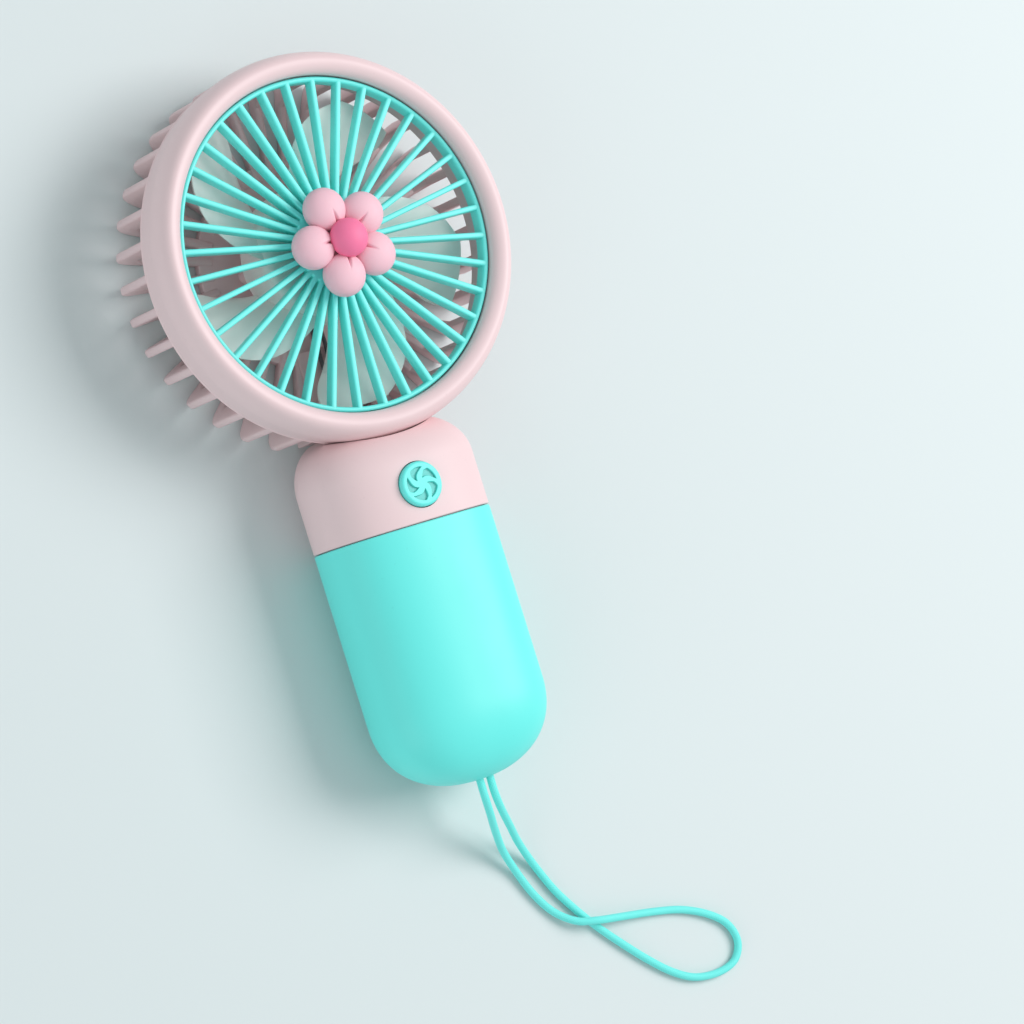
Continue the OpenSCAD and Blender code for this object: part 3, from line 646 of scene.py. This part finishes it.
def sleeve():
    """The cell's shrink sleeve with faint creases."""
    paint = Paint("cell_blue_sleeve")
    crease = paint.noise(180, 3, 0.6, paint.place((1, 0.2, 1)), 1.2)
    fine = paint.noise(2200, 2)
    blue = linear(48, 88, 190)
    return paint.finish(
        Base_Color=paint.blend(crease, shade(blue, 0.85), shade(blue, 1.1)),
        Roughness=0.28 + fine * 0.12, Coat_Weight=0.4, Coat_Roughness=0.12,
        Normal=paint.bump(crease, 0.00005, 0.6))


def clear_lens():
    paint = Paint("light_clear_epoxy")
    haze = paint.noise(800, 3)
    return paint.finish(
        Base_Color=paint.blend(haze, (0.86, 0.9, 0.9), (0.95, 0.97, 0.97)),
        Roughness=0.12 + haze * 0.15, Transmission_Weight=0.5, IOR=1.5,
        Normal=paint.bump(haze, 0.00001, 0.3))


TEAL = linear(110, 238, 231)
PINK = linear(238, 206, 208)

shell_teal = moulded("shell_teal_plastic", TEAL, 0.46)
grille_teal = moulded("grille_teal_plastic", TEAL, 0.36)
# The swirl's hollows on the button's face get painted shade.
button_teal = moulded("button_teal_plastic", TEAL, 0.4,
                      shaded_hollow=(BUTTON_Y * MM, BUTTON_TOP * MM, 0.0047))
ring_pink = moulded("ring_pink_plastic", PINK)
collar_pink = moulded("collar_pink_plastic", PINK, 0.52, 0.05)
# The rear housing is the ring's pink made darker: painted shade for the inside of the head.
housing_pink_shaded = moulded("housing_pink_plastic", shade(PINK, 0.93), 0.5)
petal_pink = moulded("petal_pink_plastic", linear(246, 194, 206), 0.55, 0.03, 0.1)
centre_pink = moulded("centre_pink_plastic", linear(252, 122, 164), 0.55, 0.03, 0.08)
# The blade colour is lighter and warmer than the plastic's pale grey: painted light against the shade
# and teal bounce inside the head.
blade_white = moulded("blade_white_plastic", linear(255, 243, 240), 0.42, 0.05, 0.05)
cord_teal = braid("cord_teal_braid", linear(112, 238, 231))
lead_red = moulded("lead_red_insulation", linear(190, 34, 30), 0.35, 0.2)
lead_grey = moulded("lead_grey_insulation", linear(92, 88, 92), 0.4, 0.1)
steel = metal("steel_plated", linear(200, 202, 204), 0.2)
brass = metal("brass_bronze", linear(206, 166, 92), 0.28, dull=0.3)
gold = metal("gold_contacts", linear(236, 196, 104), 0.16)
black_plastic = moulded("black_plastic", linear(34, 35, 38), 0.42, 0.1)
bell_white = moulded("bell_white_plastic", linear(232, 230, 222), 0.4)
retainer_grey = moulded("retainer_grey_plastic", linear(176, 178, 182), 0.42)

CARRIED = {
    "motor_shaft": metal("shaft_ground_steel", linear(196, 198, 202), 0.12, (1, 1, 6)),
    "armature_core": stacked("core_laminations", linear(110, 112, 116), 0.00035, 2, 0.9, 0.4),
    "armature_windings": stacked("winding_copper", linear(196, 104, 54), 0.00022, 1, 0.8, 0.24),
    "commutator": metal("commutator_copper", linear(206, 124, 78), 0.2, (1, 1, 8)),
    "motor_can": metal("can_drawn_steel", linear(188, 192, 196), 0.24, (1, 1, 0.1)),
    "motor_magnets": rough_solid("magnet_ferrite", linear(58, 58, 62), 0.55, 2400, 0.00001),
    "motor_end_bell": bell_white,
    "motor_brushes": rough_solid("brush_carbon", linear(44, 42, 42), 0.6, 3000, 0.00001),
    "motor_terminals": brass,
    "front_bush": rough_solid("bush_bronze", linear(176, 132, 74), 0.4, 3600, 0.00001),
    "rear_bush": rough_solid("rear_bush_bronze", linear(176, 132, 74), 0.4, 3600, 0.00001),
    "motor_retainer": retainer_grey,
    "retainer_screws": steel, "neck_screws": steel, "board_screws": steel,
    "carrier_screws": steel, "cell_tabs": metal("tab_nickel", linear(204, 202, 192), 0.26),
    "switch_plunger": black_plastic, "switch_body": black_plastic,
    "control_chip": rough_solid("chip_epoxy", linear(40, 41, 44), 0.5, 5200, 0.000006, 0.8),
    "circuit_board": board(), "charge_light": clear_lens(),
    "battery_carrier": bell_white, "battery_cell": sleeve(),
    "cell_pad": rough_solid("pad_foam", linear(84, 86, 90), 0.85, 1500, 0.0001),
}


# ---------- head ----------

def front_ring():
    arc = [math.radians(a) for a in range(0, 91, 5)]
    shoulder_z = RIM_TOP_Z + 0.5
    edge_z = GRILLE_Z + 0.3
    outside = [(CREST_R + (RING_R - CREST_R) * math.cos(a),
                shoulder_z + (RING_TOP - shoulder_z) * math.sin(a)) for a in arc]
    inside = [(CREST_R - (CREST_R - RING_INNER_R) * math.cos(a),
               edge_z + (RING_TOP - edge_z) * math.sin(a)) for a in reversed(arc[:-1])]
    seat_z = RIM_TOP_Z + 1.4
    seat_r = RING_INNER_R + 2.1
    wall_r = RING_R - RING_WALL
    foot = rounded([(RING_INNER_R, seat_z, 0.3), (seat_r, seat_z, 0), (seat_r, RIM_TOP_Z + 0.1, 0),
                    (wall_r, RIM_TOP_Z + 0.1, 0), (wall_r, BAND_Z, 0.4), (RING_R, BAND_Z, 0.7)])
    return revolved("ring", outside + inside + foot, HEAD, 240)


def grille():
    """Rim with its flange, the flat hub behind the flower, and the spokes between."""
    flange_r = RING_INNER_R + 1.9
    flange_low, flange_high = RIM_TOP_Z + 0.2, RIM_TOP_Z + 1.3
    rim_high = GRILLE_Z - 0.1
    hub_low = GRILLE_Z - 2.8
    rim = revolved("grille_rim", rounded([
        (GRILLE_RIM_IN, flange_low, 0.3), (flange_r, flange_low, 0.15),
        (flange_r, flange_high, 0.15), (GRILLE_RIM_OUT, flange_high, 0),
        (GRILLE_RIM_OUT, rim_high, 0.6), (GRILLE_RIM_IN, rim_high, 0.9)]), HEAD, 216)
    hub = revolved("grille_hub", rounded([
        (0, hub_low, 0), (GRILLE_HUB_R, hub_low, 0.5),
        (GRILLE_HUB_R, SPOKE_HIGH, 0.7), (0, SPOKE_HIGH, 0)]), HEAD, 144)
    half = SPOKE_W / 2
    section = rounded([(-half, SPOKE_LOW, 0.25), (half, SPOKE_LOW, 0.25),
                       (half, SPOKE_HIGH, 0.45), (-half, SPOKE_HIGH, 0.45)], 4)
    spoke = lofted("spoke", [[(r, y, z) for y, z in section]
                             for r in (GRILLE_HUB_R - 0.6, 20, 30, GRILLE_RIM_IN + 0.5)])
    spokes = set_round(spoke, SPOKES, grille_teal, centre=(*HEAD, 0))
    return joined("grille", rim, hub, spokes)


def petal():
    """A puffed ball about its own axis at PETAL_RING_R, creased from its top towards the
    flower's middle. The mesh is finest along the crease."""
    across, down = 72, 36
    puffed, crease_depth = 0.92, 1.1
    points = []
    for i in range(down + 1):
        tilt = math.pi * i / down
        for k in range(across):
            share = 2 * k / across - 1
            turn = math.pi + math.copysign(abs(share) ** 1.7, share) * math.pi
            puff = abs(math.sin(tilt)) ** puffed
            x, y = PETAL_R * puff * math.cos(turn), PETAL_R * puff * math.sin(turn)
            z = PETAL_H * math.copysign(abs(math.cos(tilt)) ** puffed, math.cos(tilt))
            reach = min(max((-x - 0.5) / 3.6, 0), 1)
            crease = crease_depth * reach ** 1.1 * math.exp(-(y / (0.22 + 0.16 * reach)) ** 2)
            pull = Vector((x, y, z)).normalized() * crease if crease > 1e-4 else Vector()
            points.append(Vector((PETAL_RING_R + x, y, PETAL_Z + z)) - pull)
    faces = [(i * across + k, i * across + (k + 1) % across,
              (i + 1) * across + (k + 1) % across, (i + 1) * across + k)
             for i in range(down) for k in range(across)]
    return close_up(piece_of("petal", points, faces), 75)


def flower():
    petals = set_round(petal(), PETALS, petal_pink, start=36, centre=(*HEAD, 0))
    base = revolved("flower_base", rounded([
        (0, GRILLE_Z - 0.2, 0), (PETAL_RING_R * 0.8, GRILLE_Z - 0.2, 0),
        (PETAL_RING_R * 0.8, PETAL_Z, 1.5), (0, PETAL_Z, 0)]), HEAD, 96)
    return joined("flower", petals, base)


def bead():
    dome = [(BEAD_R * math.cos(a), BEAD_Z + BEAD_H * math.sin(a))
            for a in (math.radians(d) for d in range(-36, 91, 6))]
    return revolved("bead", [(0, PETAL_Z), (3, PETAL_Z)] + dome, HEAD, 96, 60)


def blade():
    """A twisted fin: it leans over, narrows, thins and flattens from the hub to its tip."""
    rings = []
    for k in range(25):
        r = HUB_R - 0.9 + (BLADE_TIP_R - HUB_R + 0.9) * k / 24
        share = (r - HUB_R) / (BLADE_TIP_R - HUB_R)
        draw = 1 - 0.4 * max(0, (r - BLADE_TIP_R + 9) / 9) ** 2
        lean, half_span = 14 - 28 * share, 24 - 5 * share
        half_thick, pitch = 0.9 - 0.3 * share, 5.2 - 1.4 * share
        ring = []
        for side in (1, -1):
            for i in range(19):
                u = (i / 9 - 1) * side * draw
                angle = math.radians(lean + half_span * u)
                thick = half_thick * (1 - 0.75 * u * u)
                rise = pitch * u + 1.2 * (1 - u * u)
                ring.append((r * math.cos(angle), r * math.sin(angle), rise + side * thick))
        rings.append(ring)
    return lofted("blade", rings, 50)


def impeller():
    middle = (HUB_LOW + HUB_TOP) / 2
    inner = HUB_R - HUB_WALL
    hub = revolved("impeller_hub", rounded([
        (inner, HUB_LOW, 0.3), (HUB_R, HUB_LOW, 0.4), (HUB_R, HUB_TOP, 3.6),
        (HUB_R - 6, HUB_TOP, 0), (4.6, HUB_TOP, 0.3), (4.2, HUB_DISH_Z, 0.2),
        (SHAFT_R, HUB_DISH_Z, 0), (SHAFT_R, HUB_BOSS_LOW, 0), (HUB_BOSS_R, HUB_BOSS_LOW, 0.2),
        (HUB_BOSS_R, HUB_FLOOR, 0), (inner, HUB_FLOOR, 0)], 8), HEAD, 160)
    blades = set_round(blade(), BLADES, blade_white, BLADE_PHASE, centre=(*HEAD, middle))
    return joined("impeller_wheel", hub, blades)


def vane():
    """One fin of the rear housing: down the side, round the corner and in along the back."""
    corner = [(VANE_OUT_R - VANE_CORNER * (1 - math.cos(a)), VANE_CORNER * (1 - math.sin(a)))
              for a in (math.radians(d) for d in range(0, 91, 9))]
    outline = [(VANE_OUT_R, BAND_Z - 0.1)] + corner + [
        (PLATE_R - 4, 0), (PLATE_R - 4, VANE_FLOOR), (VANE_IN_R - 3, VANE_FLOOR),
        (VANE_IN_R, VANE_FLOOR + 3), (VANE_IN_R, BAND_Z - 0.1)]
    made = lofted("vane", [[(r, y, z) for r, z in outline] for y in (VANE_W / 2, -VANE_W / 2)])
    return bevelled(made, 0.7, 3, 50)


def rear_housing():
    """Back plate with the motor's cup, the vanes, the rim that holds the ring, and the neck."""
    cup_out = CUP_R + CUP_WALL
    plate = revolved("plate", rounded([
        (0, 0, 0), (PLATE_R, 0, 0.4), (PLATE_R, PLATE_T, 0.4), (cup_out, PLATE_T, 0),
        (cup_out, CUP_TOP, 0.3), (CUP_R, CUP_TOP, 0.3), (CUP_R, PLATE_T, 0),
        (RECESS_R, PLATE_T, 0), (RECESS_R, RECESS_Z, 0), (0, RECESS_Z, 0)]), HEAD, 160)
    groove = block("groove", (-WIRE_WAY, HEAD_Y - CUP_R - 3, RECESS_Z),
                   (WIRE_WAY, HEAD_Y, PLATE_T + 2))
    cut(plate, groove)
    bosses = []
    for side in (-1, 1):
        boss = rod("boss", side * BOSS_AT, HEAD_Y, BOSS_R, PLATE_T - 0.01, CUP_TOP)
        bosses.append(cut(boss, rod("bore", 0, HEAD_Y, CUP_R, 0, 20, 96)))
    vanes = set_round(vane(), SPOKES, housing_pink_shaded, 180 / SPOKES, centre=(*HEAD, 0))
    rim = revolved("rim", rounded([
        (RIM_R - RIM_WALL, BAND_Z - 2, 0.6), (RIM_R, BAND_Z - 2, 0.4), (RIM_R, RIM_TOP_Z, 0.4),
        (RIM_R - RIM_WALL, RIM_TOP_Z, 0.6)]), HEAD, 216)
    for part in (vanes, rim):
        cut(part, block("room", (-15, SEAM_Y, -1), (15, NECK_Y, BAND_Z + 1)))
    neck = block("neck", (-10, NECK_Y, 0), (10, NECK_Y + 4, BAND_Z - 1), 0.4)
    shelf = block("shelf", (-9, SEAM_Y + 13.5, 5), (9, NECK_Y + 1, 7.5), 0.3)
    spine = block("spine", (-7, NECK_Y + 1, 0.3), (7, HEAD_Y - PLATE_R + 4, VANE_FLOOR + 0.4), 0.3)
    cut(neck, block("duct", (-WIRE_WAY, NECK_Y - 1, 7.7), (WIRE_WAY, NECK_Y + 5, 10.3)))
    cut(shelf, *(rod("hole", x, SEAM_Y + 17, 1.15, 0, 20) for x in (-SCREW_X, SCREW_X)))
    made = joined("back_housing", plate, *bosses, vanes, rim, neck, shelf, spine)
    return close_up(made, 38)


# ---------- handle ----------

def body_section(y, half_w, half_t, middle, sides=160):
    section = []
    for i in range(sides):
        angle = 2 * math.pi * i / sides
        c, s = math.cos(angle), math.sin(angle)
        section.append((half_w * math.copysign(abs(c) ** (2 / SECTION_N), c), y,
                        middle + half_t * math.copysign(abs(s) ** (2 / SECTION_N), s)))
    return section


def straight(y, inset):
    return body_section(y, HALF_W - inset, HALF_T - inset, AXIS_Z)


def dome(inset, steps):
    """Sections of the lower shell's round end, from its start to its pole."""
    rings = []
    for k in range(steps + 1):
        a = math.pi / 2 * k / steps
        share = max(abs(math.cos(a)) ** (2 / END_N), 0.0005)
        rings.append(body_section(
            POLE_Y + END_LEN - (END_LEN - inset) * math.sin(a) ** (2 / END_N),
            (HALF_W - inset) * share, (HALF_T - inset) * share, AXIS_Z))
    return rings


def shoulder(inset, top, steps):
    """The collar keeps its flat back and rounds over at the front and the sides."""
    rings = []
    for k in range(steps + 1):
        a = top * k / steps
        drop = 1 - math.cos(a)
        front = 2 * HALF_T - inset - (HALF_T - inset) * drop
        back = inset + BACK_R * drop
        rings.append(body_section(
            SEAM_Y + SHOULDER_UP + (SHOULDER_R - inset) * math.sin(a),
            HALF_W - inset - (SHOULDER_R - inset) * drop, (front - back) / 2, (front + back) / 2))
    return rings


def rows(start, end, inset, steps):
    return [straight(start + (end - start) * k / steps, inset) for k in range(steps + 1)]


def pole_hole(side):
    hole = rod("hole", 0, 0, CORD_R + 0.1, -6, 6, 32)
    hole.data.transform(
        Matrix.Translation(Vector((CORD_X + side * CORD_HALF, POLE_Y, AXIS_Z)) * MM)
        @ Matrix.Rotation(math.pi / 2, 4, "X"))
    return hole


def lower_shell():
    start = POLE_Y + END_LEN
    mouth = SEAM_Y - SEAM_GAP
    outside = [straight(mouth, CHAMFER)] + rows(mouth - CHAMFER, start, 0, 24) + dome(0, 40)[1:]
    inside = rows(mouth, start, WALL, 4) + dome(WALL, 24)[1:]
    made = lofted("handle_shell", inside[::-1] + outside)
    return close_up(cut(made, pole_hole(-1), pole_hole(1)), 30)


def port_outline(grow, steps=12):
    r = PORT_H / 2 + grow
    end = (PORT_W - PORT_H) / 2
    turns = [math.pi * k / steps - math.pi / 2 for k in range(steps + 1)]
    return ([(PORT_Y + end + r * math.cos(a), PORT_Z + r * math.sin(a)) for a in turns]
            + [(PORT_Y - end - r * math.cos(a), PORT_Z - r * math.sin(a)) for a in turns])


def port_prism(name, grow, x0, x1):
    return lofted(name, [[(x, y, z) for y, z in port_outline(grow)] for x in (x0, x1)])


def back_z(x):
    """Middle of the collar's back wall at a distance x from the handle's axis."""
    share = abs(x) / (HALF_W - WALL / 2)
    return AXIS_Z - (HALF_T - WALL / 2) * (1 - share ** SECTION_N) ** (1 / SECTION_N)


def collar():
    lip = WALL + 0.1
    lip_w, lip_l = 1.2, 4.0
    depth = 23 - 2 * WALL
    cavity = math.asin((depth - SHOULDER_UP) / (SHOULDER_R - WALL))
    inside = [straight(SEAM_Y - lip_l, lip + lip_w), straight(SEAM_Y + 1.5, lip + lip_w)]
    inside += rows(SEAM_Y + 1.5, SEAM_Y + SHOULDER_UP, WALL, 4) + shoulder(WALL, cavity, 12)[1:]
    outside = [straight(SEAM_Y - lip_l, lip + 0.3), straight(SEAM_Y - lip_l + 0.3, lip),
               straight(SEAM_Y, lip), straight(SEAM_Y, CHAMFER)]
    outside += rows(SEAM_Y + CHAMFER, SEAM_Y + SHOULDER_UP, 0, 18) + shoulder(0, math.pi / 2, 36)[1:]
    shell = lofted("collar_shell", inside[::-1] + outside)
    window = rod("window", 0, 0, 0.8, -4, 4, 32)
    window.data.transform(Matrix.Translation(Vector((HALF_W, SEAM_Y + 2, AXIS_Z + 0.6)) * MM)
                          @ Matrix.Rotation(math.pi / 2, 4, "Y"))
    cut(shell,
        rod("scoop", *HEAD, RING_R + 0.2, BAND_Z - 0.2, BAND_Z + 30, 240),
        block("slot", (-9.2, SEAM_Y + 18.6, 4.8), (9.2, SEAM_Y + 38.6, 10.5)),
        rod("bore", 0, BUTTON_Y, BUTTON_R + 0.25, AXIS_Z, 2 * HALF_T + 5, 96),
        port_prism("port", 0.2, HALF_W - WALL - 2, HALF_W + 2), window)
    posts = []
    for x, y, top in ((SCREW_X, SEAM_Y + 17, 5), (HALF_W - 10.2, SEAM_Y + 15.5, 14.4),
                      (HALF_W - 8.7, SEAM_Y + 2.5, 8)):
        posts += [rod("post", side * x, y, 2.3, back_z(x), top, 32) for side in (-1, 1)]
    return close_up(joined("collar_body", shell, *posts), 30)


def swirl(r, angle):
    """How deep the button's face is at a place: five bent drops round its middle."""
    spread = 25 * min(max((r - 1.4) / 1.9, 0), 1) ** 0.8
    centre = 43.5 - 44 * (r - 3.1) / 2.8
    off = abs((math.degrees(angle) - centre + 36) % 72 - 36)
    inside = min(math.radians(spread - off) * r, (4.2 - r) * 1.2, (r - 1.4) * 1.2)
    share = min(max((inside + 0.04) / 0.16, 0), 1)
    return SWIRL_DEPTH * share * share * (3 - 2 * share)


def button():
    """The cap: a finely meshed face with its swirl, a round edge, a skirt, flange and stem."""
    around, edge = 300, 0.75
    flange_top = 2 * HALF_T - WALL - 0.9
    face_r = BUTTON_R - edge
    profile = [(face_r * k / 50, BUTTON_TOP) for k in range(1, 51)]
    profile += [(face_r + edge * math.sin(a), BUTTON_TOP - edge * (1 - math.cos(a)))
                for a in (math.radians(d) for d in range(10, 91, 10))]
    profile += [(BUTTON_R, flange_top), (BUTTON_R + 1.1, flange_top),
                (BUTTON_R + 1.1, flange_top - 1), (2, flange_top - 1), (2, low("button_cap").z)]
    points = [(0, BUTTON_Y, BUTTON_TOP)]
    for r, z in profile:
        for k in range(around):
            angle = 2 * math.pi * k / around
            dip = swirl(r, angle) if z == BUTTON_TOP else 0
            points.append((r * math.cos(angle), BUTTON_Y + r * math.sin(angle), z - dip))
    faces = [(0, 1 + k, 1 + (k + 1) % around) for k in range(around)]
    for i in range(len(profile) - 1):
        for k in range(around):
            a, b = 1 + i * around + k, 1 + i * around + (k + 1) % around
            faces.append((a, a + around, b + around, b))
    faces.append(tuple(len(points) - 1 - k for k in range(around)))
    return close_up(piece_of("button", points, faces), 50)


def socket():
    """The receptacle's drawn shell with a rounded mouth."""
    x1 = high("usb_socket").x
    x0 = low("usb_socket").x
    shell = bevelled(port_prism("port_shell", 0, x0, x1), 0.12, 2, 60)
    return close_up(cut(shell, port_prism("hollow", -0.3, x0 + 0.6, x1 + 1)), 40)


def tongue():
    """The receptacle's tongue with a row of contacts on both faces."""
    (x0, y0, z0), (x1, y1, z1) = low("usb_tongue"), high("usb_tongue")
    return block("port_tongue", (x0, y0, z0), (x1, y1, z1), 0.12), contacts(x0, x1, z0, z1)


def contacts(x0, x1, z0, z1):
    pads = []
    for k in range(12):
        y = PORT_Y + (k - 5.5) * 0.5
        pads.append(block("pad", (x0 + 2, y - 0.13, z0 - 0.03), (x1 - 0.5, y + 0.13, z1 + 0.03)))
    return joined("port_contacts", *pads)


# ---------- cord, knot and leads ----------

def cord():
    path = smooth_path([(x, POLE_Y + y, z) for x, y, z in CORD_ROUTE], 8)
    return tube("cord", path, CORD_R, 16), path


def knot():
    """A tight tangle of cord behind the holes, inside the shell."""
    (x0, y0, z0), (x1, y1, z1) = low("cord_knot"), high("cord_knot")
    middle = Vector((x0 + x1, y0 + y1, z0 + z1)) / 2
    thick = 0.8
    half = Vector((x1 - x0, y1 - y0, z1 - z0)) / 2 - Vector((thick,) * 3)
    path = []
    for k in range(121):
        a = 2 * math.pi * k / 120
        path.append(middle + Vector((half.x * math.sin(a), half.y * math.sin(3 * a + 0.6),
                                     half.z * math.cos(2 * a))))
    return tube("cord_end_knot", path, thick, 12)


def motor_leads():
    """Both wires from the motor, down the back plate, through the neck and to the board."""
    plate = PLATE_T - 0.9
    up = VANE_FLOOR + 0.4 + 0.75
    duct = 8.9
    seam_board = SEAM_Y + 19
    route = [
        (5.3, HEAD_Y, plate), (4.6, HEAD_Y - 2.4, plate), (2.4, HEAD_Y - 5, plate),
        (1.2, HEAD_Y - 8, plate), (1.2, HEAD_Y - 12, plate + 0.1), (1.2, HEAD_Y - 17, up),
        (1.2, HEAD_Y - 28, up), (1.2, NECK_Y + 8, up + 0.3), (1.2, NECK_Y + 4.6, duct - 0.3),
        (1.2, NECK_Y, duct), (1.2, NECK_Y - 6, duct), (1.2, seam_board - 1, duct + 2.2),
        (1.2, seam_board - 2.4, 13.4), (1.2, seam_board - 2.6, 14.4)]
    return joined("motor_wires", *(
        tube("wire", smooth_path([(side * x, y, z) for x, y, z in route], 6), WIRE_R, 12)
        for side in (-1, 1)))


def battery_leads():
    """One wire from each end of the cell to the board. top and end are the cell's ends."""
    top = SEAM_Y - 4.3
    end = top - 49.7
    edge = SEAM_Y - 1
    z = AXIS_Z
    far = [(0.8, end - 0.9, z + 9.8), (1, end + 1.5, z + 11), (7.2, end + 6, z + 10.2),
           (7.8, end + 12, z + 8.2), (7.8, top - 8, z + 8.2), (7.6, top, z + 6),
           (7.4, edge + 1, z + 2.6), (7.4, edge + 2.6, z + 1), (7.4, edge + 2.8, z)]
    near = [(-1, top + 0.8, z + 6.5), (-1.8, top + 1.9, z + 6.4), (-4, edge + 0.6, z + 3.4),
            (-5, edge + 2, z + 1.4), (-5, edge + 2.4, z)]
    return joined("battery_wires", *(
        tube("wire", smooth_path(route, 6), WIRE_R, 12) for route in (far, near)))


# ---------- putting it together ----------

def show(piece, finish, body, node):
    """Gives a finished piece its material and its body, and hides the model's node that it stands for.
    """
    piece.data.materials.clear()
    piece.data.materials.append(finish)
    for face in piece.data.polygons:
        face.material_index = 0
    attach(piece, body)
    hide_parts(node)
    return piece


set_camera()

cord_piece, cord_path = cord()
show(cord_piece, cord_teal, FRAME, "wrist_cord")
show(knot(), cord_teal, FRAME, "cord_knot")
sum((b - a).length for a, b in zip(cord_path, cord_path[1:])) * MM
[p * MM for p in cord_path]

show(front_ring(), ring_pink, FRAME, "front_ring")
show(grille(), grille_teal, FRAME, "front_grille")
show(flower(), petal_pink, FRAME, "flower_petals")
show(bead(), centre_pink, FRAME, "flower_centre")
show(impeller(), blade_white, ROTOR, "impeller")
show(rear_housing(), housing_pink_shaded, FRAME, "rear_housing")
show(collar(), collar_pink, FRAME, "collar")
show(lower_shell(), shell_teal, FRAME, "lower_shell")
show(button(), button_teal, BUTTON, "button_cap")
show(socket(), steel, FRAME, "usb_socket")
for part, finish in zip(tongue(), (black_plastic, gold)):
    show(part, finish, FRAME, "usb_tongue")
show(motor_leads(), lead_grey, FRAME, "motor_leads")
show(battery_leads(), lead_red, FRAME, "battery_leads")

for node, finish in CARRIED.items():
    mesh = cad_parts[node].data
    mesh.materials.clear()
    mesh.materials.append(finish)


# ---------- floor and light ----------

def floor():
    reach, level = 4000, -0.02
    made = piece_of("floor", [(-reach, -reach, level), (reach, -reach, level),
                              (reach, reach, level), (-reach, reach, level)], [(0, 1, 2, 3)])
    paint = Paint("pale_floor")
    made.data.materials.append(paint.finish(Base_Color=(0.70, 0.73, 0.735), Roughness=0.7))


def lamp(name, size, power, place, colour=(1, 1, 1), aim=(0, 0, 0.01)):
    light = bpy.data.objects.new(name, bpy.data.lights.new(name, "AREA"))
    light.data.size = size
    light.data.energy = power
    light.data.color = colour
    light.location = place
    light.rotation_mode = "QUATERNION"
    light.rotation_quaternion = (Vector(place) - Vector(aim)).to_track_quat("Z", "Y")
    bpy.context.scene.collection.objects.link(light)


def studio():
    world = bpy.data.worlds.new("studio")
    world.use_nodes = True
    world.node_tree.nodes["Background"].inputs[0].default_value = (0.82, 0.94, 0.96, 1)
    world.node_tree.nodes["Background"].inputs[1].default_value = 0.58
    bpy.context.scene.world = world
    lamp("key", 0.9, 16.5, (1.0, 0.1, 1.1))
    lamp("fill", 1.0, 3.6, (-1.1, -0.4, 0.4), (0.86, 1.0, 0.99))
    bpy.context.scene.view_settings.view_transform = "Standard"


floor()
studio()
